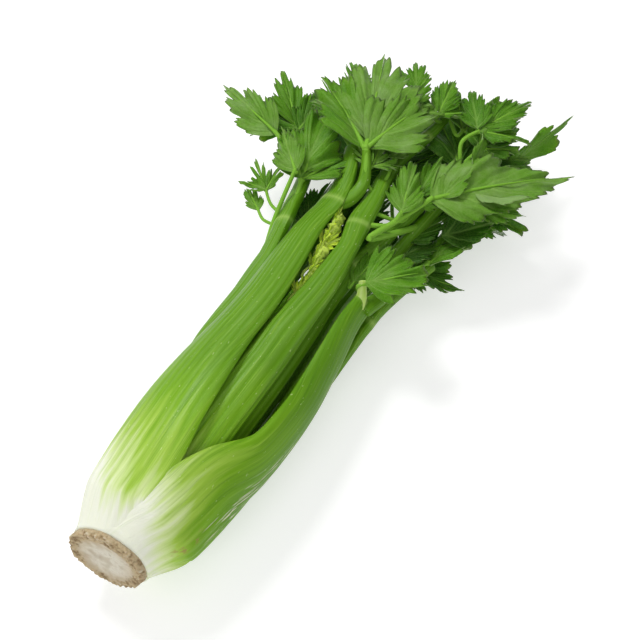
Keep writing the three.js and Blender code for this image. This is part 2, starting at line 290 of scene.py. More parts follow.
stalkLook = {
    "rings": 150,           # rings along a stalk
    "outerPoints": 72,      # points across the outer face
    "innerPoints": 36,      # points across the inner face
    "wrapEnd": 60,          # up to here a stalk follows the round of the bundle
    "freeStart": 140,       # from here it has its own curve
    "ownCurve": 0.62,       # curve radius of a free stalk, as a share of its width
    "edgeShare": 0.4,       # thickness of the edges, as a share of the middle
    "ribHeight": 0.40,      # height of the ribs at mid length
    "baseRibHeight": 0.45,  # height of the ribs on the white base
    "ribFade": (190, 300),  # where the ribs grow faint
    "nodeSwell": 0.05,      # how much a node stands out
    "baseTaper": 0.11,      # how much the bases draw in to the butt
    "waver": 0.5,           # slow unevenness of the outer face
    "startBulge": 0.2,      # how far the hidden end at the butt is rounded
    "endBulge": 0.5,        # and the far end
}


def stalkShell(rows, look, seed):
    # A closed profile carried along a path. The profile is a lens bent round the bundle:
    # at a place p from -1 to 1 across, its middle line lies half its thickness below the
    # outer face, and its half thickness is that half times the root of 1 - p to the 8th,
    # so the edges are round. It closes to an oval where the row's roundness is 1.
    rings, outer, inner = (stalkLook[key] for key in ("rings", "outerPoints", "innerPoints"))
    share = np.linspace(0, 1, rings)
    station = between(rows, share)
    along, angle, reach, width, thickness, roundness = station.T
    roundness = np.clip(roundness, 0, 1)
    nodes = sum(hump(along - spot, 1.5) for spot in look["nodes"]) + np.zeros(rings)
    swells = sum(hump(along - spot + 1.5, 4.5) for spot in look["nodes"]) + np.zeros(rings)
    low = 1 - smooth(40, 80, along)
    reach = reach * (1 - stalkLook["baseTaper"] * (1 - smooth(2, 26, along)))
    width, reach = width + look.get("flare", 0) * low, reach + look.get("over", 0) * low
    spots, wider, turned, farther = np.array(look.get("fuller", [(0, 0, 0, 0)]), float).T
    width = width + np.interp(along, spots, wider)
    reach = reach + np.interp(along, spots, farther)
    turn = np.radians(angle + np.interp(along, spots, turned))
    outward = np.stack([np.cos(turn), np.zeros(rings), np.sin(turn)], -1)
    path = outward * reach[:, None]
    path[:, 1] += along
    ahead = unit(np.gradient(path, axis=0))
    ahead[0] = (0, 1, 0)
    out = unit(outward - ahead * np.sum(outward * ahead, -1, keepdims=True))
    side = np.cross(ahead, out)

    sweep = np.concatenate([np.arange(outer) / outer, 1 + np.arange(inner) / inner])
    level = np.where(sweep < 1, sweep, 2 - sweep)
    across = 0.65 * (2 * level - 1) - 0.35 * np.cos(np.pi * level)
    onTop = (sweep < 1).astype(float)
    free = smooth(stalkLook["wrapEnd"], stalkLook["freeStart"], along)
    curve = reach + (np.maximum(stalkLook["ownCurve"] * width, width / 2) - reach) * free
    half = np.arcsin(np.minimum(1, width / 2 / curve))

    p = across[None, :]
    body = stalkLook["edgeShare"] + (1 - stalkLook["edgeShare"]) * np.sqrt(1 - p ** 2)
    middle = thickness[:, None] * body / 2
    lens = middle * np.sqrt(np.clip(1 - p ** 8, 0, 1))
    depth = middle - np.where(onTop > 0, lens, -lens)
    radius = curve[:, None] - depth
    flat = p * half[:, None]
    crescent = np.stack([radius * np.sin(flat), radius * np.cos(flat) - curve[:, None]], -1)
    spin = np.pi * (1 - sweep)
    oval = np.stack([
        np.cos(spin)[None] * width[:, None] / 2,
        (np.sin(spin)[None] - 1) * thickness[:, None] / 2,
    ], -1)
    section = crescent + (oval - crescent) * roundness[:, None, None]

    # ribs: rounded ridges, evenly spaced across with a little drift along the stalk
    count = look["ribs"]
    drift = 0.05 * noiseOf(along[:, None] / 70, p * 1.5, seed) + 0.06 * np.sin(4.3 * p + seed)
    ridge = (0.5 + 0.5 * np.cos(np.pi * count * (p + drift) + seed)) ** 0.8
    vary = 0.75 + 0.35 * noiseOf(p * count * 0.45, along[:, None] / 60, seed + 7)
    edge = 1 - smooth(0.86, 1.0, np.abs(p))
    left, right = look.get("ribSides", (1.0, 1.0))
    vary = vary * (left + (right - left) * smooth(-0.1, 0.6, p))
    start, end = stalkLook["ribFade"]
    base = 1 - smooth(20, 75, along)
    tall = stalkLook["ribHeight"] * (1 - 0.75 * smooth(start, end, along)) * smooth(2, 40, along)
    taller = stalkLook["baseRibHeight"] - stalkLook["ribHeight"] * 0.3
    tall = tall + taller * base * smooth(2, 12, along)
    narrow = np.minimum(1, width / 22)
    rib = ridge * vary * edge * onTop
    lift = rib * (tall * narrow)[:, None]
    waver = stalkLook["waver"] * noiseOf(p * 2.2, along[:, None] / 26, seed + 3)
    lift = lift + waver * edge * (0.4 + 0.6 * onTop) * smooth(2, 30, along)[:, None]
    lift = lift + stalkLook["nodeSwell"] * (swells * width)[:, None] * 0.5 * onTop

    # carry the profile along the path, pushing each point out from the profile's middle
    centre = section.mean(axis=1, keepdims=True)
    facing = unit(section - centre)
    facing = facing * 0.35 + np.stack([np.sin(flat), np.cos(flat)], -1) * 0.65
    section = section + facing * lift[..., None]
    points = path[:, None] + side[:, None] * section[..., :1] + out[:, None] * section[..., 1:]
    values = {
        "along": np.broadcast_to(along[:, None], rib.shape),
        "across": np.broadcast_to(p, rib.shape),
        "girth": flat * curve[:, None],
        "rib": rib,
        "node": np.broadcast_to(nodes[:, None], rib.shape),
    }
    return cappedShell(points, values, stalkLook["startBulge"],
                       look.get("endBulge", stalkLook["endBulge"]))


def cappedShell(points, values, startBulge, endBulge, steps=5):
    # Closes both ends of a tube of rings with smaller and smaller copies of the end ring,
    # whose size goes as the cosine of a quarter turn and whose distance goes as the sine.
    def cap(ring, nextRing, bulge):
        centre = ring.mean(axis=0)
        away = unit(centre - nextRing.mean(axis=0))
        size = np.linalg.norm(ring - centre, axis=1).min()
        quarter = np.linspace(0, np.pi / 2, steps + 1)[1:, None, None]
        return (centre + (ring - centre) * np.cos(quarter)
                + away * size * bulge * np.sin(quarter))

    first = cap(points[0], points[1], startBulge)[::-1]
    last = cap(points[-1], points[-2], endBulge)
    joined = np.concatenate([first, points, last])
    spread = {
        key: np.concatenate([
            np.repeat(value[:1], steps, 0), value, np.repeat(value[-1:], steps, 0),
        ])
        for key, value in values.items()
    }
    return Shell(joined, ringFaces(len(joined), joined.shape[1]), spread)


tubeBulges = (0.3, 0.8)     # how far the two ends of a tube are rounded


def tubeShell(points, radii, look, seed, values, around=28, rings=46):
    # A round profile carried along a smooth path through the points. The radius runs
    # through the radii, with shallow ribs round it, noise and, where asked for, crumples.
    share = np.linspace(0, 1, rings)
    path = between(points, share)
    radius = between(np.array(radii, float)[:, None], share)[:, 0]
    ahead = unit(np.gradient(path, axis=0))
    side = unit(np.cross(ahead, np.array(look.get("up", (0.05, 0.1, 1.0)))))
    up = np.cross(side, ahead)
    spin = np.arange(around) / around * 2 * np.pi
    ribs = look.get("ribs", 7)
    ridge = 0.5 + 0.5 * np.cos(ribs * spin + seed)
    size = radius[:, None] * (1 + look.get("ribShare", 0.05) * ridge[None])
    size = size * (1 + 0.06 * noiseOf(share[:, None] * 5, np.cos(spin)[None] * 1.3, seed))
    crumple = noiseOf(share[:, None] * rings / 4.0, np.sin(spin)[None] * 2.0, seed + 1)
    size = size * (1 + look.get("crumple", 0.0) * crumple)
    flatten = look.get("flatten", 1.0)
    placed = (path[:, None] + side[:, None] * (size * np.cos(spin))[..., None]
              + up[:, None] * (size * np.sin(spin) * flatten)[..., None])
    shape = size.shape
    spread = {
        key: np.broadcast_to(np.asarray(value, float), shape) for key, value in values.items()
    }
    if "rib" in spread:
        spread["rib"] = np.broadcast_to(ridge[None] * 0.6, shape)
        spread["girth"] = size * np.sin(spin)[None] + seed
    return cappedShell(placed, spread, *tubeBulges)


buttLook = {
    "radius": 20.9,      # radius of the cut face
    "rim": 6.0,          # width of the corky rim
    "rough": 1.0,        # height of the rim's roughness
    "depth": 4.2,        # how far its wall goes in among the stalk bases
    "around": 260,       # points to a ring
    "rings": 70,
    "faceEnd": 0.66,     # share of the rings up to the rim of the cut face
    "wallEnd": 0.88,     # and up to the end of the wall
}


def buttShell(seed):
    # A closed dish. The first share of the rings goes from the middle of the cut face to
    # its rim, the next one turns over the worn edge and along the wall, the last one
    # closes the hidden back. Noise pushes the face and the rim in and out.
    rings, around = buttLook["rings"], buttLook["around"]
    spin = np.arange(around) / around * 2 * np.pi
    t = np.linspace(0, 1, rings)[:, None]
    faceEnd, wallEnd = buttLook["faceEnd"], buttLook["wallEnd"]
    face = np.clip(t / faceEnd, 0, 1)
    wall = np.clip((t - faceEnd) / (wallEnd - faceEnd), 0, 1)
    back = np.clip((t - wallEnd) / (1 - wallEnd), 0, 1)
    ragged = 1 + 0.030 * noiseOf(np.cos(spin) * 2.6, np.sin(spin) * 2.6, seed)
    ragged = ragged + 0.022 * noiseOf(np.cos(spin) * 9, np.sin(spin) * 9, seed + 1)
    edge = buttLook["radius"] * ragged[None]
    radius = edge * (face + 0.035 * np.sin(np.pi * wall)) * (1 - back)
    depth = wall * buttLook["depth"]
    x, z = radius * np.cos(spin)[None], radius * np.sin(spin)[None]
    rimShare = buttLook["rim"] / buttLook["radius"]
    rim = smooth(1 - rimShare * 1.3, 1 - 0.3 * rimShare, face)
    rim = rim * (1 - smooth(0.4, 1.0, wall))
    coarse = noiseOf(x / 2.6, z / 2.6, seed + 2)
    fine = noiseOf(x / 0.9 + 7, z / 0.9 + depth, seed + 3)
    height = rim * (0.9 + 0.55 * coarse + 0.5 * fine) * buttLook["rough"]
    height = height + 0.16 * noiseOf(x / 4, z / 4, seed + 4) * (1 - wall)
    height = height + 0.07 * fine * (1 - wall)
    push = rim * (0.5 * fine + 0.4 * coarse) * buttLook["rough"]
    push = push * np.minimum(1, wall * 6 + face ** 8)
    scale = 1 + push / np.maximum(radius, 3)
    points = np.stack([x * scale, depth - height, z * scale], -1)
    values = {
        "rim": rim,
        "radial": face,
        "relief": (coarse * 0.5 + fine * 0.5) * rim,
    }
    return Shell(points, ringFaces(rings, around), values)


leafLook = {
    "along": 118,          # grid lines along a leaflet
    "across": 9,           # grid lines from midrib to margin
    "thickness": 0.42,     # thickness of a blade at its midrib
    "veinSink": 0.34,      # how deep the upper side sinks along the main veins
    "sideSink": 0.12,      # and along the finer ones
    "pucker": 0.42,        # height of the swellings between the veins
    "sway": 2.6,           # height of the slow waves of the whole blade
    "ruffle": 1.0,         # height of the waves along the margin
    "midribShare": 0.80,   # how far the midrib runs along the blade
    "fullWidth": 34,       # narrower leaflets have lower veins, swellings and waves
    "tilt": 0.22,          # how far lobes tilt up or down, as a share of their length
    "toothSkew": 0.60,     # where a tooth peaks between its two cuts
    "toothJitter": 0.22,   # unevenness of the spacing of the teeth
}

# Outlines of leaflets. lobes: places of the side lobes, from the base up. teeth: teeth to
# a lobe. toothDepth: depth of the cuts between teeth. round: below 1 for round teeth.
# notch and cutWidth: depth and width of the cuts between lobes. point: how pointed the
# lobes are. base: angle of the lowest vein from the midrib. start: share of the midrib
# that veins start from. side: reach of the lowest veins. shoulder: fullness above them.
outlineParts = ("lobes", "teeth", "toothDepth", "round", "notch", "cutWidth", "point", "base",
                "start", "side", "shoulder")
outlines = {
    name: dict(zip(outlineParts, numbers)) for name, numbers in {
        "sharp": ([0.2, 0.58], 5, 0.15, 0.75, 0.34, 0.1, 0.16, 84, 0.46, 0.9, 0.12),
        "wedge": ([0.24, 0.6], 4, 0.17, 0.7, 0.26, 0.07, 0.06, 66, 0.4, 0.98, 0.1),
        "fan": ([0.24, 0.62], 3, 0.18, 0.8, 0.24, 0.07, 0.08, 82, 0.2, 0.98, 0.06),
        "finger": ([0.24, 0.62], 3, 0.18, 0.85, 0.52, 0.17, 0.2, 68, 0.34, 0.95, 0.1),
        "broad": ([0.16, 0.42, 0.7], 4, 0.13, 0.6, 0.15, 0.07, 0.0, 80, 0.62, 0.92, 0.24),
        "scallop": ([0.42], 5, 0.14, 0.5, 0.22, 0.08, 0.06, 72, 0.34, 0.92, 0.12),
    }.items()
}


def leafletShell(base, frameAxes, length, width, bend, look, seed, tint):
    # A blade as a function of two parameters: s from 0 to 1 picks a vein, which starts on
    # the midrib and leans forward more the higher it starts, and a from -1 to 1 goes out
    # along it. A vein's length is a smooth reach, times the cuts between the lobes, times
    # the teeth; the last vein is the tip. A closed skin goes over the upper side and back
    # under it.
    rng = np.random.default_rng(seed)
    outline = outlines[look["outline"]]
    s = np.linspace(0, 1, leafLook["along"])
    spots = outline["lobes"]
    lobeCount = len(spots)
    phase = np.interp(s, [0, *spots, 1.0], [-0.45, *range(lobeCount + 1)])
    toothPhase = phase * outline["teeth"]
    lean = np.radians(outline["base"]) * (1 - s ** 0.9)
    start = length * outline["start"] * s ** 1.6
    tipLength = length * (1 - outline["start"])
    sideLength = width / 2 * outline["side"]
    full = sideLength + (tipLength - sideLength) * s ** 1.3
    full = full * (1 + outline["shoulder"] * np.sin(np.pi * s))

    d = leafLook["across"]
    overTop = np.linspace(-1, 1, 2 * d + 1)
    overBottom = np.linspace(1, -1, 2 * d + 1)[1:-1]
    a = np.concatenate([overTop, overBottom])
    top = np.concatenate([np.ones(2 * d + 1), -np.ones(2 * d - 1)])
    top[[0, 2 * d]] = 0
    q, sign = np.abs(a)[None], np.sign(a)[None]
    # each side has its own lobes and teeth, a little different, and both meet at the tip
    both = []
    settle = 1 - smooth(0.90, 1.0, s)
    for one in (0, 1):
        slow = noiseOf(s * 2.3, np.full_like(s, one * 3.1), seed + 10) * settle
        lobePhase = phase + 0.16 * slow
        fromCut = np.abs((lobePhase % 1.0) - 0.5)
        fromLobe = 0.5 - fromCut
        cuts = 1 - outline["notch"] * (1 + 0.5 * slow) * hump(fromCut, outline["cutWidth"])
        cuts = cuts * (1 - outline["point"] * (2 * fromLobe) ** 1.5)
        jitter = noiseOf(s * 10, np.full_like(s, one * 6.1), seed + 11)
        jitter = leafLook["toothJitter"] * jitter * settle
        frac = (toothPhase + jitter + 0.5) % 1.0
        skew = leafLook["toothSkew"]
        tooth = np.where(frac < skew, frac / skew, (1 - frac) / (1 - skew))
        size = 1 + 0.7 * noiseOf(s * 7, np.full_like(s, one * 5.3), seed + 12)
        depth = outline["toothDepth"] * size * (1 - 0.45 * s)
        teeth = 1 - depth * (1 - tooth ** outline["round"])
        teeth = 1 + (teeth - 1) * smooth(0.02, 0.12, s)
        vary = 1 + 0.14 * noiseOf(s * 3, np.full_like(s, one * 7.7), seed + 13) * settle
        both.append(full * cuts * teeth * vary * smooth(-0.01, 0.05, s))
    both[0][-1] = both[1][-1] = (both[0][-1] + both[1][-1]) / 2
    veinLength = np.where(sign < 0, both[0][:, None], both[1][:, None])

    leanHere = lean[:, None] * (1.10 - 0.32 * q)
    x = veinLength * q * np.sin(leanHere) * sign
    y = start[:, None] + veinLength * q * np.cos(leanHere)

    # height over the flat leaf: fold, sunken veins, swellings between them, waves
    scale = min(1.0, width / leafLook["fullWidth"])
    h = math.tan(math.radians(look["fold"])) * np.abs(x)
    h = h - look["cup"] * x ** 2 / max(width, 1)
    fromMain = np.abs(phase - np.round(phase))[:, None] * q * 3.2
    fromSide = np.abs(toothPhase - np.round(toothPhase))[:, None] * q * 1.3
    sink = hump(fromMain, 0.24) * smooth(0.02, 0.2, q) * (1 - 0.6 * q)
    h = h - leafLook["veinSink"] * scale * np.maximum(sink, hump(x, 1.4))
    h = h - leafLook["sideSink"] * scale * hump(fromSide, 0.2) * smooth(0.15, 0.5, q)
    spots = rng.uniform(0, 50, 4)
    h = h + leafLook["pucker"] * scale * noiseOf(x / 4.6 + spots[0], y / 4.6, seed + 21)
    sway = leafLook["sway"] * scale * look["wave"]
    h = h + sway * noiseOf(x / 13 + spots[1], y / 13, seed + 22)
    wave = np.sin(2 * np.pi * (phase[:, None] * 0.9 + rng.uniform()) + sign * 0.8)
    wave = wave + 0.6 * np.sin(2 * np.pi * (phase[:, None] * 2.1 + rng.uniform()) - sign)
    h = h + leafLook["ruffle"] * look["wave"] * scale * wave * q ** 2
    lobeTilt = rng.uniform(-1, 1, (2, lobeCount + 2))
    pick = np.clip(np.round(phase).astype(int), 0, lobeCount + 1)
    tilt = np.where(sign < 0, lobeTilt[0][pick][:, None], lobeTilt[1][pick][:, None])
    near = np.cos(np.pi * (phase - np.round(phase)))[:, None] ** 2
    tipward = smooth(0, 0.15, 1 - s)[:, None]
    h = h + tilt * near * q ** 1.6 * veinLength * look["tilt"] * tipward
    skin = leafLook["thickness"] * np.sqrt(np.clip(1 - q ** 4, 0, 1)) / 2
    h = h + skin * top[None] * smooth(0, 0.03, s)[:, None]

    points = bendLeaf(x, y, h, base, frameAxes, length, bend)
    shape = x.shape
    values = {
        "phase": np.broadcast_to(phase[:, None], shape),
        "tooth": np.broadcast_to(toothPhase[:, None], shape),
        "out": np.broadcast_to(q, shape),
        "fromMidrib": np.abs(x),
        "upper": np.broadcast_to(top[None], shape),
        "tint": np.full(shape, float(tint)),
        "stem": np.zeros(shape),
    }
    return Shell(points, ringFaces(len(s), len(a)), values)


def bendLeaf(x, y, h, base, frameAxes, length, bend):
    # Carries a flat leaf onto a bent midrib: the pitch falls evenly along the leaf, and a
    # point stands x to the side and h above the midrib's place at its own y.
    rise, droop = bend
    side, forward, up = frameAxes
    steps = np.linspace(-0.1, 1.3, 90) * length
    pitch = np.radians(rise - 2 * droop * np.clip(steps / length, 0, 1.2))
    gap = steps[1] - steps[0]
    run, climb = np.cumsum(np.cos(pitch)) * gap, np.cumsum(np.sin(pitch)) * gap
    run, climb = run - np.interp(0, steps, run), climb - np.interp(0, steps, climb)
    here = np.clip(y, steps[0], steps[-1])
    r, c = np.interp(here, steps, run), np.interp(here, steps, climb)
    tilt = np.interp(here, steps, pitch)
    r, c = r - h * np.sin(tilt), c + h * np.cos(tilt)
    return base + x[..., None] * side + r[..., None] * forward + c[..., None] * up


def leafAxes(heading, roll):
    # Side, forward and up of a leaf from its heading, turned about forward by its roll.
    turn, lean = math.radians(heading), math.radians(roll)
    forward = np.array([math.sin(turn), math.cos(turn), 0.0])
    flat = np.array([math.cos(turn), -math.sin(turn), 0.0])
    up = np.array([0.0, 0.0, 1.0])
    side = flat * math.cos(lean) - up * math.sin(lean)
    return side, forward, np.cross(side, forward)


# How leaflets make a leaf: (heading from the middle one, size, stem share, roll).
groups = {
    "one": [(0, 1.0, 0.0, 0)],
    "three": [(0, 1.0, 0.10, 0), (-54, 0.80, 0.02, 8), (54, 0.80, 0.02, -8)],
}


def stalkMiddle(name, place):
    # The middle of a stalk at a distance from the butt, and the way it runs there.
    rows = np.array(stalks[name], float)
    share = np.linspace(0, 1, 200)
    along, angle, reach, _, thickness, _ = between(rows, share).T
    turn = np.radians(angle)
    depth = reach - thickness / 2
    path = np.stack([np.cos(turn) * depth, along, np.sin(turn) * depth], -1)
    at = int(np.argmin(np.abs(along - place)))
    return path[at], unit(np.gradient(path, axis=0))[at]


def leafShells(leaf, seed):
    # A leaf: its leaflets, each with a midrib, any further leaflets and ribbon, and the
    # leafstalk, a curve from the middle of its stalk to the foot of the blade.
    row, stalkName, place, outline, group, tint, look = leaf
    x, y, z, heading, rise, stem, blade, width, roll, droop, fold, radius = row
    start = np.array([x, y, z], float) + look.get("shift", (0, 0, 0))
    roll = roll + look.get("lean", 0)
    axes = leafAxes(heading, roll)
    side, forward, up = axes
    pitch = math.radians(rise)
    direct = forward * math.cos(pitch) + up * math.sin(pitch)
    foot = start + direct * stem
    shells = []
    values = {"phase": 0.5, "tooth": 0.5, "out": 0.0, "fromMidrib": 0.0, "upper": 1.0,
              "tint": tint, "stem": 1.0}
    spread = groups[group]
    rng = np.random.default_rng(seed + 500)
    for k, (turn, size, stemShare, extraRoll) in enumerate(spread):
        loose = 1.0 if len(spread) > 1 else 0.3
        turn = turn * look.get("splay", 1.0) + rng.uniform(-9, 9) * (k > 0)
        length = blade * size * look.get("swellBy", 1.0)
        wide = width * size * look.get("thin", 1.0)
        if len(spread) > 1:
            wide = length * look.get("broad", 0.86)
        own = leafAxes(heading + turn, roll + extraRoll + rng.uniform(-16, 16) * loose)
        petiole = stemShare * blade
        base = foot + (own[1] * math.cos(pitch) + own[2] * math.sin(pitch)) * petiole
        base = base + own[2] * (0.35 * k)
        settings = {
            "outline": outline,
            "fold": fold + rng.uniform(-8, 8) * loose,
            "cup": look.get("cup", 0.15) + rng.uniform(-0.2, 0.3) * loose,
            "wave": look.get("wave", 1.35),
            "tilt": leafLook["tilt"],
        }
        bend = (rise + rng.uniform(-8, 10) * loose, droop + rng.uniform(0, 12) * loose)
        shells.append(leafletShell(base, own, length, wide, bend, settings,
                                   seed * 31 + k * 7 + 1, tint + rng.uniform(-0.12, 0.12)))
        reach = np.linspace(-0.02, leafLook["midribShare"], 9)
        thick = np.linspace(radius * 0.72, 0.1, 9)
        rib = bendLeaf(np.zeros(9), reach * length, 0.1 - thick, base, own, length, bend)
        if stemShare > 0:
            rib = np.concatenate([[foot - own[1] * 0.5], rib])
            thick = np.concatenate([[radius * 0.8], thick])
        shells.append(tubeShell(rib, thick, {"ribShare": 0.02, "up": tuple(own[2])},
                                seed + k, values, around=10, rings=26))
    for k, (spot, turn, lift, lean, length, wide, shape) in enumerate(look.get("extra", ())):
        settings = {"outline": shape, "fold": 16, "cup": 0.1, "wave": 1.2, "tilt": 0.16}
        shells.append(leafletShell(np.array(spot, float), leafAxes(turn, lean), length, wide,
                                   (lift, 6), settings, seed * 17 + k, tint))
    for points, radii in look.get("ruffle", ()):
        shells.append(tubeShell(np.array(points, float), radii, {"crumple": 0.75, "ribs": 3},
                                seed, {**values, "stem": 0.0, "phase": 0.3, "out": 0.4},
                                around=36, rings=150))
    # the leafstalk leaves its stalk along it and bends round into the blade
    source, leaving = stalkMiddle(stalkName, place)
    gap = np.linalg.norm(foot - source)
    bends = [source + leaving * gap * 0.3, foot - direct * gap * 0.35]
    points = np.array([source, *look.get("via", bends), foot + direct], float)
    shells.append(tubeShell(points, np.linspace(radius, radius * 0.75, len(points)),
                            {"ribShare": 0.08, "up": tuple(up)}, seed, values,
                            around=14, rings=30))
    return shells


# The stations next to the butt that the stalks of a layer share: their distances, reaches
# and thicknesses.
layers = {
    "outer": ([3.4, 23, 40, 60, 85], [24.8, 33, 36, 38.5, 40.5], [5, 6, 7, 8, 9]),
    "second": ([3.4, 23], [19, 26.2], [4.5, 5.5]),
    "third": ([3.4, 23, 40], [14, 19.8, 20.8], [4, 5, 6]),
}


def sheath(layer, angles, widths):
    # A stalk's stations within its layer, each with its own angle and width.
    return [
        [along, angle, reach, width, thickness, 0]
        for along, reach, thickness, angle, width in zip(*layers[layer], angles, widths)
    ]


# Stalks. Each row is a station: distance from the butt, angle round the bundle (0 is the
# right side, 90 the top), reach of the outer face from the axis, width, thickness and
# roundness (0 crescent, 1 oval).
stalks = {
    "stalk_front_right": sheath("outer", [33, 33, 31, 28, 13], [34, 45, 48, 46, 42]) + [
        [110, 8, 41, 40, 9.5, 0], [134, 7, 39.5, 36, 9.5, 0], [160, 12, 35.5, 30, 9.5, 0.1],
        [183, 18, 31.5, 23, 9.5, 0.4], [200, 20, 30, 16, 9, 0.9],
    ],
    "stalk_front_left": sheath("outer", [125, 125, 124, 124, 125], [35, 47, 52, 55, 53]) + [
        [110, 125, 41, 46, 9.5, 0], [134, 124, 40.5, 37, 9.5, 0], [160, 122, 40, 31, 10, 0],
        [185, 124, 40, 26, 10, 0.1], [207, 127, 40, 21, 10, 0.2], [222, 128, 38.8, 17, 10, 0.5],
        [236, 127, 38, 14.5, 9.5, 0.9], [252, 131, 41.5, 12, 9, 1], [270, 137, 47, 10, 8, 1],
    ],
    "stalk_right_edge": sheath("outer", [-44, -44, -45, -46, -50], [26, 34, 38, 38, 36]) + [
        [110, -53, 41, 32, 9.5, 0], [134, -53, 40, 28, 9.5, 0], [160, -42, 37.5, 24, 9.5, 0],
        [183, -31, 35, 20, 9.5, 0.2], [200, -20, 34, 15, 9, 0.8], [218, -12, 36, 10, 8, 1],
        [248, -8, 42, 8, 7, 1],
    ],
    "stalk_under_left": sheath("outer", [236, 235, 236, 237, 238], [31, 40, 44, 44, 42]) + [
        [110, 239, 41.5, 38, 9.5, 0], [134, 240, 41.5, 34, 9.5, 0], [160, 240, 41.5, 30, 9.5, 0],
        [190, 240, 41, 24, 9.5, 0.2], [215, 240, 41, 17, 9, 0.8], [245, 239, 41, 12, 8, 1],
        [285, 238, 42, 8, 7, 1],
    ],
    "stalk_centre": sheath("second", [72, 72], [24, 33]) + [
        [40, 72, 28, 33, 6.5, 0], [60, 72, 29.6, 29, 7.5, 0], [85, 74, 32, 27, 8.5, 0],
        [110, 75, 33, 26, 9, 0], [134, 76, 33.2, 25, 9, 0], [160, 79, 33, 24, 9, 0],
        [190, 82, 32, 22, 9, 0.1], [215, 88, 31, 18, 9, 0.4], [231, 93, 30, 15, 9, 0.9],
        [250, 99, 28.5, 12, 8.5, 1], [281, 115, 26, 9, 8, 1], [314, 108, 21, 7, 6.5, 1],
        [332, 106, 19, 5, 5, 1],
    ],
    "stalk_back_left": sheath("second", [176, 176], [24, 32]) + [
        [40, 176, 28.2, 34, 6.5, 0], [60, 177, 29.7, 33, 7.5, 0], [85, 182, 30.6, 29, 8, 0],
        [110, 184, 37.6, 25, 8.5, 0], [134, 182, 43.5, 25, 9, 0], [160, 176, 45.5, 23, 9.5, 0],
        [185, 171, 47, 20, 9.5, 0.2], [211, 163, 49, 15, 9, 0.8], [236, 160, 53, 10.5, 8, 1],
        [262, 161, 61, 8, 7, 1],
    ],
    "stalk_under": sheath("second", [268, 268], [22, 29]) + [
        [40, 268, 28.2, 31, 6.5, 0], [60, 268, 29.7, 31, 7.5, 0], [85, 269, 30.5, 29, 8, 0],
        [110, 270, 31, 27, 8.5, 0], [134, 271, 31.5, 25, 9, 0], [160, 272, 32, 23, 9, 0],
        [190, 274, 33.5, 19, 9, 0.2], [215, 278, 35, 15, 9, 0.8], [245, 284, 36, 10, 8, 1],
        [295, 290, 36, 6.5, 6, 1],
    ],
    "stalk_inner_right": sheath("second", [-14, -14], [22, 29]) + [
        [40, -14, 28.2, 30, 6.5, 0], [60, -13, 29, 28, 7.5, 0], [85, -13, 29.5, 25, 8, 0],
        [110, -12, 29, 23, 8.5, 0], [134, -11, 27, 20, 8.5, 0], [160, -9, 24.5, 17, 8.5, 0.1],
        [190, -4, 22, 15, 8.5, 0.3], [215, 0, 22, 12, 8, 0.8], [245, 12, 25, 10, 8, 1],
        [279, 22, 30, 8, 7, 1], [308, 28, 34, 6, 5.5, 1],
    ],
    "stalk_inner_top": sheath("third", [30, 30, 32], [20, 26, 26]) + [
        [60, 35, 21, 23, 6.5, 0], [85, 38, 21.5, 20, 7, 0], [110, 41, 22, 18, 7.5, 0],
        [134, 44, 22.5, 16, 8, 0], [160, 48, 21.5, 15, 8, 0.1], [190, 54, 19, 13, 8, 0.3],
        [215, 52, 18, 11, 7.5, 0.8], [243, 46, 21, 9, 7, 1], [268, 42, 26, 7, 6.5, 1],
        [294, 40, 31, 5.5, 5, 1],
    ],
    "stalk_inner_left": sheath("third", [150, 150, 150], [20, 26, 26]) + [
        [60, 150, 21.2, 24, 6.5, 0], [85, 150, 21.8, 22, 7, 0], [110, 150, 22, 20, 7.5, 0],
        [134, 150, 22.5, 19, 8, 0], [160, 150, 23, 17, 8, 0.1], [190, 149, 24, 15, 8, 0.3],
        [215, 147, 26, 12, 8, 0.8], [240, 146, 28, 10, 7.5, 1], [270, 145, 33, 8, 7, 1],
        [305, 140, 42, 6, 5.5, 1],
    ],
    "stalk_inner_under": sheath("third", [270, 270, 268], [20, 26, 26]) + [
        [60, 266, 21.2, 24, 6.5, 0], [85, 264, 21.5, 21, 7, 0], [110, 262, 21.5, 19, 7.5, 0],
        [134, 258, 21.5, 17, 8, 0], [160, 250, 21, 16, 8, 0.1], [190, 242, 21.5, 14, 8, 0.3],
        [215, 234, 23, 12, 8, 0.8], [245, 226, 25, 9, 7, 1], [290, 214, 32, 6, 5.5, 1],
    ],
    "heart_stalk_top": [
        [3.4, 90, 9.3, 13, 7.6, 1], [23, 90, 12.5, 15, 10, 1], [40, 90, 13, 14, 10, 1],
        [60, 90, 13, 13, 10, 1], [110, 92, 13, 12, 9.5, 1], [150, 96, 14, 10, 8.5, 1],
        [180, 102, 16, 8, 7, 1], [202, 108, 18, 6, 5.5, 1],
    ],
    "heart_stalk_under": [
        [3.4, 270, 9.3, 13, 7.6, 1], [23, 270, 12.5, 15, 10, 1], [40, 270, 13, 14, 10, 1],
        [60, 270, 13, 13, 10, 1], [110, 272, 12.5, 12, 9.5, 1], [150, 280, 12, 10, 9, 1],
        [190, 296, 12, 8, 8, 1], [240, 310, 12, 6, 6, 1],
    ],
}



stalkColours = {
    "white": (0.83, 0.85, 0.71),       # blanched base
    "cream": (0.64, 0.76, 0.34),
    "pale": (0.36, 0.56, 0.07),        # yellow-green above the base
    "bright": (0.19, 0.40, 0.012),
    "green": (0.120, 0.29, 0.006),     # mid length
    "deep": (0.100, 0.26, 0.006),      # towards the leaves
    "paintedSheen": (0.42, 0.55, 0.30),       # painted sheen, a pale reflection on the ribs and in the sheen bands
    "grooveGreenAndShade": (0.055, 0.185, 0.004),   # deeper green between the ribs, partly painted shade in the grooves
    "ring": (0.36, 0.54, 0.12),        # nodes
    "scar": (0.72, 0.70, 0.52),        # scrapes and dry edges
    "rust": (0.34, 0.23, 0.08),        # brown tears
}


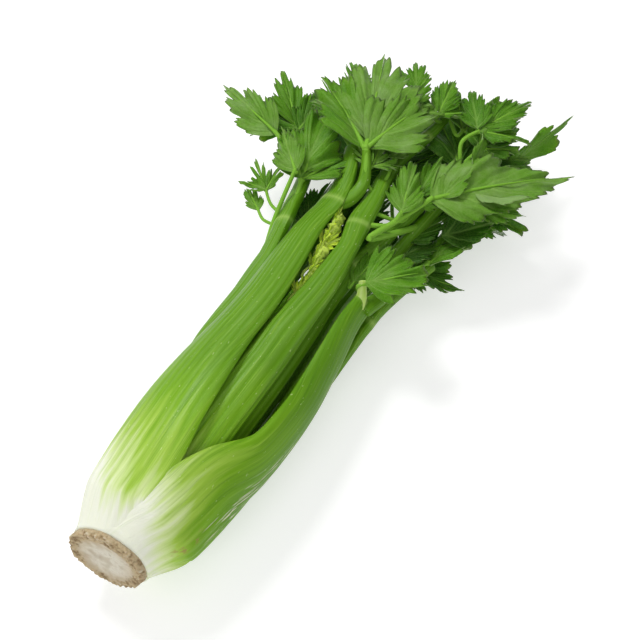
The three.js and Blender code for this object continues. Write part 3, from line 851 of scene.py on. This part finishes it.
def stalkFinish():
    # White at the base, then yellow-green and green; the change comes later on the ribs
    # and along the sheath edges, and its line is broken up by streaks along the stalk.
    finish = Finish("stalkSkin", {
        "Subsurface Weight": 0.06, "Subsurface Radius": (0.9, 1.0, 0.3),
        "Subsurface Scale": 0.003, "Specular IOR Level": 0.09,
        "Coat Roughness": 0.25, "Coat IOR": 1.45,
    })
    c = stalkColours
    along = finish.attribute("along")
    across = finish.attribute("across")
    rib = finish.attribute("rib")
    node = finish.attribute("node").clamp()
    tint = finish.attribute("tint")
    girth = finish.attribute("girth")
    streak = finish.lines(girth * 0.22, along * 0.020, tint * 9, 3.0)
    fine = finish.lines(girth * 1.15, along * 0.03, tint * 9 + 4, 3.0)
    string = finish.lines(girth * 2.4, along * 0.02, tint * 9 + 8, 2.0)
    blotch = finish.grain(34, 3)
    edge = across.math("ABSOLUTE").rise(0.55, 1.0)
    shifted = (along - rib * 10 - edge * along.rise(70, 10) * 16
               + (streak - 0.5) * 80 * along.rise(-8, 30) + tint * 12 + finish.attribute("lean"))
    colour = finish.ramp(shifted / 320, [
        (0.0, c["white"]), (0.055, c["white"]), (0.11, c["cream"]), (0.175, c["pale"]),
        (0.27, c["bright"]), (0.42, c["green"]), (1.0, c["deep"]),
    ])
    # painted sheen: a pale reflection painted on the rib tops from 30 mm on, in patches, with the painted sheen
    # band added
    paintedSheen = rib * (along.rise(30, 120)) * (0.02 + blotch * 0.12) + finish.attribute("dust")
    colour = finish.mix(paintedSheen.clamp(), colour, c["paintedSheen"])
    grown = along.rise(8, 70)
    # between the ribs the colour darkens: partly the stalk's deeper green there, partly painted shade in the
    # grooves
    colour = finish.mix((0.5 - rib).clamp() * 0.34 * grown, colour, c["grooveGreenAndShade"])
    colour = finish.mix(fine.rise(0.52, 0.74) * (0.10 + grown * 0.20), colour, c["pale"])
    colour = finish.mix(string.rise(0.54, 0.64) * 0.36 * grown, colour, c["grooveGreenAndShade"])
    colour = finish.mix(node * 0.6, colour, c["ring"])
    speck = finish.grain(620, 2, (1.6, 0.5, 1.6)).rise(0.70, 0.76)
    colour = finish.mix(speck * along.rise(10, 60) * 0.55, colour, c["cream"])
    rub = finish.lines(girth * 0.75, along * 0.045, tint * 9 + 2, 3.0).rise(0.60, 0.64)
    colour = finish.mix(rub * finish.attribute("scar").clamp(), colour, c["scar"])
    brown = finish.grain(300, 5, (1.6, 0.6, 1.6)).rise(0.53, 0.66)
    colour = finish.mix(brown * finish.attribute("rust").clamp(), colour, c["rust"])
    finish.feed("Base Color", colour)
    finish.feed("Roughness", 0.30 + blotch * 0.16 + fine * 0.08)
    finish.feed("Coat Weight", 0.03 + along.rise(20, 80) * 0.05)
    finish.bump(fine * 0.7 - string.rise(0.5, 0.7) * 0.5
                + finish.grain(900, 2, (1.5, 0.7, 1.5)) * 0.3, 0.45, 0.0004)
    return finish.material


# Blade colours from the darkest to the palest, then the other parts of a leaf.
leafColours = {
    "blade": [(0.0, (0.026, 0.090, 0.006)), (0.30, (0.062, 0.190, 0.008)),
              (0.55, (0.092, 0.245, 0.010)), (0.78, (0.140, 0.285, 0.040)),
              (1.0, (0.200, 0.335, 0.095))],
    "lower": (0.215, 0.350, 0.110),
    "vein": (0.250, 0.430, 0.090),
    "stem": (0.200, 0.430, 0.040),
}


def leafFinish(name, colours):
    # Green blades with paler veins: the main veins run to the tips of the lobes, finer
    # ones to the teeth, and a net of hair-fine ones fills the rest. The underside is
    # paler and duller.
    finish = Finish(name, {
        "Subsurface Weight": 0.10, "Subsurface Radius": (0.5, 0.9, 0.2),
        "Subsurface Scale": 0.002, "Specular IOR Level": 0.08, "Coat Roughness": 0.35,
    })
    c = colours
    wobble = finish.grain(230, 2) - 0.5
    out, fromMidrib = finish.attribute("out"), finish.attribute("fromMidrib")
    phase = finish.attribute("phase") + wobble * 0.22
    tooth = finish.attribute("tooth") + wobble * 1.2
    upper = finish.attribute("upper").rise(-0.5, 0.5)
    stem, tint = finish.attribute("stem"), finish.attribute("tint")
    # distance to the nearest whole number, which is where the veins run
    mainGap = (phase + 0.5).math("FRACT").math("SUBTRACT", 0.5).math("ABSOLUTE") * (out + 0.05)
    sideGap = (tooth + 0.5).math("FRACT").math("SUBTRACT", 0.5).math("ABSOLUTE") * (out + 0.05)
    main = (1 - mainGap.rise(0.006, 0.030)) * (1.15 - out)
    side = (1 - sideGap.rise(0.015, 0.085)) * (0.9 - out * 0.7) * 0.36
    midrib = 1 - fromMidrib.rise(0.35, 1.0)
    veins = main.math("MAXIMUM", side).math("MAXIMUM", midrib * 0.8).clamp()
    net = finish.add("ShaderNodeTexVoronoi", "Distance", {"feature": "DISTANCE_TO_EDGE"},
                     {"Vector": finish.place(), "Scale": 620})
    netLine = 1 - net.rise(0.0, 0.16)
    blotch, fine = finish.grain(70, 4), finish.grain(420, 3)
    # the tint darkens the leaves deep in the bunch, painted shade, and lightens the top ones, partly their paler
    # tone and partly a painted sheen
    shade = 0.5 + tint + (blotch - 0.5) * 0.95 + (fine - 0.5) * 0.35 - out * 0.06
    colour = finish.ramp(shade, c["blade"])
    colour = finish.mix(netLine * 0.14, colour, c["vein"])
    colour = finish.mix(veins * 0.40, colour, c["vein"])
    below = finish.mix(veins * 0.5, c["lower"], c["vein"])
    colour = finish.mix(1 - upper, colour, below)
    colour = finish.mix(stem, colour, c["stem"])
    finish.feed("Base Color", colour)
    finish.feed("Roughness", 0.36 + (1 - upper) * 0.22 + fine * 0.12)
    finish.feed("Coat Weight", upper * 0.04)
    finish.bump(blotch * 0.6 - veins * (upper * 2 - 1) * 0.8 - netLine * 0.18 + fine * 0.2,
                0.55, 0.0006)
    return finish.material


buttColours = {
    "face": (0.56, 0.50, 0.38),
    "pale": (0.70, 0.66, 0.55),
    "tan": (0.50, 0.39, 0.23),
    "brown": (0.24, 0.165, 0.08),
    "shade": (0.34, 0.25, 0.16),
}


def buttFinish():
    # A dry cut: grey-beige in the middle with paler patches, corky tan and brown at the rim.
    finish = Finish("cutButt", {"Subsurface Weight": 0.05, "Subsurface Scale": 0.002,
                                "Specular IOR Level": 0.25})
    c = buttColours
    rim, relief = finish.attribute("rim"), finish.attribute("relief")
    blotch, fine = finish.grain(150, 5, distortion=0.4), finish.grain(800, 4)
    colour = finish.mix(blotch.rise(0.38, 0.62), c["face"], c["pale"])
    colour = finish.mix(finish.grain(62, 2).rise(0.5, 0.72) * 0.6, colour, c["shade"])
    colour = finish.mix(finish.attribute("radial").rise(0.35, 1.0) * 0.75, colour, c["tan"])
    corky = finish.mix((blotch * 0.6 + fine * 0.6 - relief * 0.5).rise(0.48, 0.86),
                       c["tan"], c["brown"])
    mask = (rim + (blotch - 0.5) * 1.8 + (fine - 0.5) * 0.6).rise(0.12, 0.95)
    colour = finish.mix(mask, colour, corky)
    colour = finish.mix(relief.rise(0.15, 0.7) * rim * 0.55, colour, c["pale"])
    finish.feed("Base Color", colour)
    finish.feed("Roughness", 0.72 + fine * 0.2)
    finish.bump(fine + blotch * 0.6, 0.8, 0.0009)
    return finish.material


skin = stalkFinish()
leafy = leafFinish("leafBlade", leafColours)
heartLeafy = leafFinish("heartLeaf", {
    "blade": [(0.2, (0.20, 0.38, 0.008)), (0.5, (0.46, 0.66, 0.022)), (0.8, (0.72, 0.86, 0.10))],
    "lower": (0.52, 0.70, 0.08),
    "vein": (0.58, 0.70, 0.22), "stem": (0.45, 0.62, 0.10),
})
cork = buttFinish()
print("celery: materials made")

# What differs from stalk to stalk: ribs across it and their share of full height at its
# two sides, the places of its nodes, flare and over (extra width and reach at the base),
# tint (higher is greener), leans (how many millimetres nearer the butt the green starts,
# at the left and the right side), a painted sheen band (strength of a painted pale
# reflection over the left of the stalk and the place across where it ends), dry scars and
# rust, how its end closes, and fuller: distance from the butt, extra width, extra angle
# and extra reach.
stalkDetails = {
    "stalk_front_right": {"ribs": 11, "ribSides": (0.3, 1.0), "nodes": [198], "flare": 9,
                          "over": 0.9, "tint": 0.4, "scar": 0.9, "rust": 0.9,
                          "endBulge": 0.25, "leans": (-2, 74)},
    "stalk_front_left": {"ribs": 11, "nodes": [236], "flare": 4, "tint": 0.3, "leans": (-12, 16),
                         "dust": (0.20, -0.42), "fuller": [
                             (140, 0, 0, 0), (160, 2, 1.5, 0), (185, 4, 3, 0), (207, 6.5, 4.5, 0),
                             (222, 7.5, 5, 0), (236, 5.5, 4, 0), (252, 1, 0, 0)]},
    "stalk_right_edge": {"ribs": 12, "nodes": [200], "flare": 4, "tint": 0.35, "scar": 0.9,
                         "leans": (50, 60)},
    "stalk_under_left": {"ribs": 9, "nodes": [226], "flare": 4, "tint": -0.2},
    "stalk_centre": {"ribs": 6, "nodes": [231, 310], "tint": 0.9, "fuller": [
        (150, 0, 0, 0), (180, -4, -3.5, 0), (215, -5, -5, 0), (236, 0, 0, 0)]},
    "stalk_back_left": {"ribs": 10, "nodes": [211], "tint": 0.15, "leans": (-26, 0),
                        "dust": (0.42, 0.1),
                        "fuller": [(100, 0, 0, 0), (118, 3, -2, -1), (140, 4, -3, -3),
                                   (165, 7, -6, -5), (190, 8, -8, -5), (207, 8, -8, -2),
                                   (222, 5, -6, 0), (262, 2, 0, 0)]},
    "stalk_under": {"ribs": 7, "nodes": [222], "tint": 0.0},
    "stalk_inner_right": {"ribs": 7, "nodes": [222], "tint": 0.8},
    "stalk_inner_top": {"ribs": 6, "nodes": [214], "tint": 0.6},
    "stalk_inner_left": {"ribs": 6, "nodes": [218], "tint": 0.3},
    "stalk_inner_under": {"ribs": 6, "nodes": [218], "tint": 0.2},
    "heart_stalk_top": {"ribs": 5, "nodes": [160], "tint": -1.8},
    "heart_stalk_under": {"ribs": 5, "nodes": [160], "tint": -1.8},
}

# Side branches and bare leafstalks, by the stalk that they grow from: points of the path,
# radii along it, and its look.
branches = {
    "stalk_front_left": [
        ([[-19, 235, 27], [-14, 242, 28], [-13, 253, 30], [-17, 262, 34], [-21, 268, 38]],
         [4.8, 4.2, 3.6, 2.8, 2.3], {"ribs": 6, "flatten": 0.85}),
    ],
    "stalk_centre": [
        ([[-22, 269, 36], [-22, 277, 36], [-22, 292, 33], [-22, 308, 28]], [2.0, 1.7, 1.5, 1.3],
         {"ribs": 4}),
    ],
    "stalk_front_right": [
        ([[27, 196, 8], [30, 207, 8], [31, 220, 9], [30, 236, 8]], [5.0, 4.4, 3.8, 3.2],
         {"ribs": 6, "flatten": 0.8}),
        ([[25, 193, 12], [24, 198, 16], [21, 203, 23]], [3.4, 3.0, 2.0],
         {"ribs": 5, "flatten": 0.4, "along": 24}),
    ],
}


def makeStalks():
    # One piece for each stalk with its branches. Each number that the skin's colours use is
    # a product of level-ended rises and bells over the distance along and across.
    for index, (name, rows) in enumerate(stalks.items()):
        details = stalkDetails[name]
        seed = 40 + index * 3
        shell = stalkShell(rows, details, seed)
        shells = [shell]
        for k, (points, radii, look) in enumerate(branches.get(name, [])):
            shells.append(tubeShell(
                np.array(points, float), radii, {"ribShare": 0.07, **look}, seed + k,
                {"along": look.get("along", 230), "across": 0, "rib": 0, "node": 0, "girth": 0},
            ))
        for one in shells:
            along, across = one.values["along"], one.values["across"]
            one.values["tint"] = np.full(along.shape, float(details["tint"]))
            low, high = details.get("leans", (0.0, 0.0))
            one.values["lean"] = ((low + (high - low) * smooth(-0.7, 0.8, across))
                                  * (0.3 + 0.7 * smooth(2, 34, along))
                                  * (1 - smooth(70, 190, along)))
            # painted sheen band: a pale painted reflection from the stalk's left edge up to the margin, from 80 mm
            # on
            strength, margin = details.get("dust", (0.0, 0.0))
            one.values["dust"] = (strength * smooth(80, 130, along)
                                  * (1 - smooth(margin - 0.05, margin + 0.05, across)))
            right = smooth(-0.1, 0.3, across) * smooth(34, 46, along)
            right = right * (1 - smooth(90, 190, along))
            one.values["scar"] = details.get("scar", 0.0) * right
            one.values["rust"] = (details.get("rust", 0.0) * hump(along - 26, 12)
                                  * hump(across - 0.26, 0.10))
        makePiece(name.replace("_", "-") + "-skin", shells, skin, [name])
    print("celery: stalks made")


# Leaves. First a row: start of the leafstalk (x, distance from the butt, height over the
# axis), heading (0 along the head, 90 to the right), rise, lengths of leafstalk and blade,
# width of the blade, roll, droop towards the tip, fold of the two halves, radius of the
# leafstalk. Then the stalk that it grows from and where, its outline, how many leaflets it
# has, its tint (higher is lighter: the low tints of the leaves deep in the bunch and
# underneath are painted shade, the high tints of the top leaves partly their paler tone
# and partly a painted sheen), and what else it needs: via, points that its leafstalk
# passes; shift and lean, which move and roll it; thin, width of a lone leaflet; broad,
# width of grouped leaflets as a share of their length; swellBy, growth; splay, spread of
# the leaflets; cup and wave; ruffle, a crumpled ribbon; extra, further leaflets (place,
# heading, rise, roll, length, width, outline).
leaves = {
    "leaf_far_left": (
        [-68, 256, 22.6, -77, 7, 10, 50, 36, -12, 8, 14, 1.6],
        "stalk_back_left", 258, "wedge", "one", 0.34, {}),
    "leaf_left_back": (
        [-64, 265, 13, -50, 12, 10, 41, 46, 4, 4, 10, 1.5],
        "stalk_back_left", 258, "wedge", "three", -0.08, {
        "broad": 0.95, "splay": 0.8,
    }),
    "leaf_left_low": (
        [-64, 277, 5, -78, 3, 12, 39, 42, 4, 4, 8, 1.5],
        "stalk_back_left", 250, "wedge", "three", -0.18, {}),
    "leaf_left_near": (
        [-37, 227, 36, -51, 4, 12, 35, 30, -26, 6, 12, 1.5],
        "stalk_back_left", 200, "wedge", "one", 0.25, {
        "via": [[-45, 211, 18], [-46, 222, 28]],
    }),
    "leaflet_left_a": (
        [-52, 219, 13, -52, 2, 16, 20, 14, 0, 6, 8, 1.1],
        "stalk_back_left", 208, "finger", "three", 0.15, {
        "shift": (2, -2, 0), "swellBy": 1.15,
    }),
    "leaflet_left_b": (
        [-54, 212, 7, -58, 0, 8, 15, 12, 0, 4, 8, 1.1],
        "stalk_back_left", 204, "wedge", "one", 0.05, {
        "shift": (1, -1, 3), "thin": 1.3, "swellBy": 1.35,
    }),
    "leaf_palm": (
        [-41, 226, 26, -14, 15, 10, 53, 54, -6, 14, 8, 1.8],
        "stalk_back_left", 202, "wedge", "three", 0.1, {
        "via": [[-40, 212, 17], [-40, 223, 24]], "broad": 0.95, "splay": 0.65,
    }),
    "leaf_top_centre": (
        [-18, 260, 38, -25, 7, 10, 70, 62, 4, 8, 6, 2.2],
        "stalk_front_left", 234, "wedge", "three", 0.2, {
        "via": [[-15, 243, 29], [-14, 254, 31], [-17, 262, 35]], "broad": 1.12, "splay": 0.78,
    }),
    "leaf_top_left": (
        [-40, 276, 25, -60, 2, 12, 30, 28, 0, 6, 10, 1.4],
        "stalk_inner_left", 262, "sharp", "three", -0.08, {}),
    "leaf_back_curl": (
        [-52, 306, 15, -36, 0, 10, 34, 24, 20, 14, 22, 1.3],
        "stalk_inner_left", 295, "wedge", "one", 0.22, {}),
    "leaf_back_dark": (
        [-48, 290, 4, -28, 2, 10, 34, 30, 0, 6, 10, 1.3],
        "stalk_inner_left", 285, "sharp", "three", -0.08, {}),
    "leaf_back_mid": (
        [-22, 297, 31, -4, 2, 10, 33, 42, 0, 6, 10, 1.3],
        "stalk_inner_left", 300, "wedge", "three", 0.2, {}),
    "leaf_back_yellow": (
        [-26, 330, 14, -34, 2, 8, 26, 28, 0, 6, 10, 1.3],
        "stalk_inner_left", 302, "wedge", "one", 0.0, {}),
    "leaf_tip_centre": (
        [-5, 314, 23.5, -12, 4, 8, 31, 36, 0, 6, 10, 1.4],
        "stalk_centre", 322, "wedge", "three", -0.02, {}),
    "leaf_tip_right": (
        [6, 319, 16, 19, 3, 8, 42, 38, 0, 4, 8, 1.4],
        "stalk_centre", 328, "wedge", "three", -0.04, {}),
    "leaf_right_top": (
        [24, 310, 20.0, 14, 8, 8, 31, 35, -4, 6, 8, 1.5],
        "stalk_inner_top", 288, "scallop", "three", -0.14, {
        "broad": 1.05, "splay": 0.85,
    }),
    "leaf_right_back": (
        [17, 314, 27, 17, 2, 10, 41, 38, 4, 6, 10, 1.4],
        "stalk_inner_top", 290, "wedge", "three", -0.08, {}),
    "leaf_right_mid": (
        [17, 302, 4, 1, 3, 10, 42, 38, 0, 4, 8, 1.4],
        "stalk_inner_top", 284, "scallop", "three", -0.26, {
        "broad": 1.05, "swellBy": 1.3,
    }),
    "leaf_right_side": (
        [25, 291, -10.8, 25, 3, 12, 39, 36, 0, 6, 8, 1.4],
        "stalk_inner_right", 290, "scallop", "three", -0.22, {
        "broad": 1.05, "swellBy": 1.25,
    }),
    "leaf_big_right": (
        [16, 258, 28.8, 39, 2, 12, 93, 58, 4, 10, 6, 1.9],
        "stalk_inner_right", 262, "broad", "one", 0.22, {
        "via": [[10, 226, 27], [15, 243, 27], [19, 255, 27]], "thin": 0.86, "cup": 0.3,
        "wave": 1.6,
        "extra": [
            ([33, 296, 27], -22, 14, 62, 34, 17, "scallop"),
            ([42, 286, 27], 74, -4, 150, 34, 20, "scallop"),
            ([28, 272, 28], 12, 8, -10, 26, 24, "scallop"),
            ([40, 282, 20], 62, -6, 6, 36, 30, "scallop"),
        ],
    }),
    "leaf_edge_right": (
        [34, 315, 3, 19, -1, 14, 60, 22, 55, 4, 14, 1.4],
        "stalk_inner_right", 300, "wedge", "one", 0.1, {"lean": 14, "thin": 0.8}),
    "leaf_right_under": (
        [16, 280, 1, 62, -8, 12, 34, 28, 0, 8, 8, 1.3],
        "stalk_inner_right", 256, "sharp", "three", -0.08, {}),
    "leaf_right_fold": (
        [35, 236, 1.2, 15, 1, 10, 35, 36, -24, 4, 18, 1.4],
        "stalk_right_edge", 224, "wedge", "one", 0.1, {}),
    "leaf_right_bright": (
        [18, 198, 19, 43, 16, 8, 37, 48, 2, 14, 8, 1.6],
        "stalk_front_right", 196, "fan", "one", 0.06, {}),
    "leaf_centre_top": (
        [14, 242, 28.5, -21, 17, 6, 39, 40, 4, 8, 8, 1.6],
        "stalk_centre", 232, "wedge", "one", 0.16, {
        "via": [[13, 240, 26]], "shift": (4, 1, 0), "thin": 0.8,
    }),
    "leaf_centre_right": (
        [15, 258, 20, -3, 12, 6, 31, 34, 0, 8, 8, 1.3],
        "stalk_centre", 231, "wedge", "three", -0.06, {}),
    "leaf_centre_mid": (
        [-7, 273, 28, -18, 6, 6, 22, 22, 0, 8, 10, 1.2],
        "stalk_centre", 252, "sharp", "three", 0.1, {"splay": 0.7}),
    "leaf_centre_small": (
        [-14, 259, 30, -11, 13, 6, 22, 15, 0, 8, 10, 1.1],
        "stalk_centre", 246, "finger", "three", 0.3, {"swellBy": 1.2}),
    "leaf_right_small": (
        [14, 197, 14, 6, 9, 6, 36, 20, 0, 4, 8, 1.1],
        "stalk_inner_top", 208, "wedge", "one", 0.1, {}),
    # the shade leaves are darkened by their low tint: painted shade
    "leaf_shade_right": (
        [24, 234, -17, 10, 4, 8, 38, 28, 0, 4, 8, 1.2],
        "stalk_right_edge", 214, "sharp", "three", -0.42, {
        "broad": 1.0, "swellBy": 1.2,
        "extra": [
            ([12, 226, -4], 4, 8, 10, 30, 26, "sharp"),
            ([22, 236, 2], 30, 6, -8, 34, 30, "wedge"),
            ([36, 262, 6], 34, 2, 12, 36, 32, "scallop"),
        ],
    }),
    "leaf_shade_centre": (
        [4, 262, -5, 2, 4, 14, 42, 32, 0, 6, 8, 1.3],
        "heart_stalk_under", 236, "sharp", "three", -0.42, {
        "broad": 1.0, "swellBy": 1.2,
        "extra": [
            ([-16, 236, 8], -8, 8, 0, 36, 30, "sharp"),
            ([-5, 232, 10], 8, 8, 6, 36, 30, "wedge"),
            ([-4, 222, 6], 4, 8, 0, 34, 28, "sharp"),
            ([-10, 214, 6], -18, 8, 0, 34, 26, "sharp"),
            ([20, 248, 6], 24, 8, 0, 34, 30, "wedge"),
        ],
    }),
    "leaf_shade_back": (
        [-10, 286, -11, -20, 2, 14, 44, 36, 0, 4, 8, 1.3],
        "heart_stalk_under", 236, "sharp", "three", -0.42, {
        "broad": 1.0, "swellBy": 1.2,
    }),
    "leaf_shade_left": (
        [-26, 262, -7, -32, 2, 14, 42, 32, 0, 4, 8, 1.3],
        "stalk_inner_under", 246, "sharp", "three", -0.42, {
        "broad": 1.0, "swellBy": 1.2,
        "extra": [
            ([-32, 222, 6], -10, 8, 0, 38, 30, "sharp"),
            ([-38, 218, 2], -24, 8, 6, 36, 28, "wedge"),
        ],
    }),
    "leaf_under_left": (
        [-26, 288, -33, -44, 0, 10, 44, 36, 0, 2, 3, 1.3],
        "stalk_under_left", 280, "sharp", "three", -0.08, {}),
    "leaf_under_back": (
        [-18, 292, -32, -6, 0, 14, 46, 34, 0, 2, 3, 1.3],
        "stalk_under_left", 276, "sharp", "three", -0.08, {}),
    "leaf_under_right": (
        [16, 300, -32, 32, 0, 10, 46, 36, 0, 2, 3, 1.3],
        "stalk_under", 290, "sharp", "three", -0.08, {}),
    "heart_leaf_a": (
        [-9, 200, 21, -3, 14, 3, 20, 9, 70, 6, 12, 1],
        "heart_stalk_top", 196, "finger", "three", 0.0, {
        "shift": (-1, 4, 4), "lean": -40, "broad": 0.8, "swellBy": 0.95, "splay": 0.7,
        "wave": 2.0,
        "ruffle": [
            ([[-14, 232, 22], [-11, 222, 26], [-9, 211, 26], [-6, 199, 25],
              [-3.5, 187, 24], [-1, 170, 23]],
             [2.2, 3.2, 3.0, 2.6, 2.4, 1.6]),
        ],
        "extra": [
            ([-12, 224, 27], -34, 34, 50, 12, 9, "finger"),
            ([-11, 218, 28], 24, 34, -50, 12, 9, "finger"),
            ([-10, 212, 28], -30, 34, 56, 12, 9, "finger"),
            ([-9, 206, 28], 26, 34, -56, 12, 9, "finger"),
            ([-8, 200, 28], -26, 34, 50, 12, 9, "finger"),
            ([-6, 194, 27], 22, 34, -50, 11, 8, "finger"),
            ([-5, 188, 27], -24, 34, 56, 11, 8, "finger"),
            ([-3, 180, 26], 16, 34, -50, 10, 8, "finger"),
        ],
    }),
    "heart_leaf_b": (
        [-7, 184, 20, 0, 14, 3, 16, 8, 74, 6, 12, 1],
        "heart_stalk_top", 180, "finger", "three", 0.0, {
        "shift": (-1, 6, 4), "lean": -40, "broad": 0.8, "swellBy": 0.95, "splay": 0.7,
        "wave": 2.0,
    }),
    "heart_leaf_c": (
        [-4, 168, 17, -4, 18, 3, 13, 7, 70, 6, 12, 1],
        "heart_stalk_top", 164, "finger", "three", 0.0, {
        "shift": (-1, 4, 6), "lean": -40, "broad": 0.8, "swellBy": 0.95, "splay": 0.7,
        "wave": 2.0,
    }),
}


def makeLeaves():
    for index, (name, leaf) in enumerate(leaves.items()):
        heart = name.startswith("heart")
        shells = leafShells(leaf, 100 + index * 13)
        makePiece(name.replace("_", "-") + "-blade", shells, heartLeafy if heart else leafy,
                  [name])
    print("celery: leaves made")


makePiece("butt-cut", [buttShell(5)], cork, ["butt"])
print("celery: butt made")
makeStalks()
makeLeaves()


stageLook = {
    "floorSize": 8.0,
    "floorColour": (0.60, 0.60, 0.60),
    "floorGlow": 0.54,
    "worldColour": (1.0, 1.0, 1.0),
    "worldStrength": 0.34,
    "lens": 85,
    "azimuth": 35,
    "elevation": 60,
    "distance": 0.850,
    "target": (0.00795, 0.1806, -0.001),   # from the middle of the cut butt
}

# Soft lights: place, where it points, size and power.
lights = {
    "keyLeft": ((-0.8, 0.3, 1.3), (0.0, 0.0, 0.0), 0.45, 14),
    "topSoft": ((0.3, 0.4, 1.6), (0.0, 0.0, 0.0), 1.2, 4),
    "frontFill": ((0.2, -1.2, 0.9), (0.0, -0.1, 0.0), 0.9, 6),
}


def makeStage():
    finish = Finish("palePaper", {"Roughness": 0.9, "Specular IOR Level": 0.1,
                                  "Emission Color": (1.0, 1.0, 1.0, 1.0),
                                  "Emission Strength": stageLook["floorGlow"]})
    finish.feed("Base Color", stageLook["floorColour"])
    half = stageLook["floorSize"] / 2
    mesh = bpy.data.meshes.new("floor")
    mesh.from_pydata([(-half, -half, 0), (half, -half, 0), (half, half, 0), (-half, half, 0)],
                     [], [(0, 1, 2, 3)])
    mesh.materials.append(finish.material)
    floor = bpy.data.objects.new("floor", mesh)
    bpy.context.scene.collection.objects.link(floor)
    world = bpy.data.worlds.new("paleRoom")
    world.use_nodes = True
    background = world.node_tree.nodes["Background"]
    background.inputs["Color"].default_value = (*stageLook["worldColour"], 1.0)
    background.inputs["Strength"].default_value = stageLook["worldStrength"]
    bpy.context.scene.world = world
    for name, (place, aim, size, power) in lights.items():
        lamp = bpy.data.lights.new(name, "AREA")
        lamp.shape, lamp.size, lamp.energy = "DISK", size, power
        light = bpy.data.objects.new(name, lamp)
        light.location = place
        light.rotation_mode = "QUATERNION"
        light.rotation_quaternion = (Vector(aim) - Vector(place)).to_track_quat("-Z", "Y")
        bpy.context.scene.collection.objects.link(light)
    bpy.context.scene.view_settings.view_transform = "Standard"


def makeCamera():
    turn, lift = math.radians(stageLook["azimuth"]), math.radians(stageLook["elevation"])
    back = Vector((math.sin(turn) * math.cos(lift), -math.cos(turn) * math.cos(lift),
                   math.sin(lift)))
    data = bpy.data.cameras.new("camera")
    data.lens, data.sensor_width = stageLook["lens"], 36
    data.clip_start, data.clip_end = 0.01, 50
    camera = bpy.data.objects.new("camera", data)
    target = Vector(headOrigin) + Vector(stageLook["target"])
    camera.location = target + back * stageLook["distance"]
    camera.rotation_mode = "QUATERNION"
    camera.rotation_quaternion = (-back).to_track_quat("-Z", "Y")
    bpy.context.scene.collection.objects.link(camera)
    bpy.context.scene.camera = camera


makeStage()
makeCamera()
print("celery: stage ready")
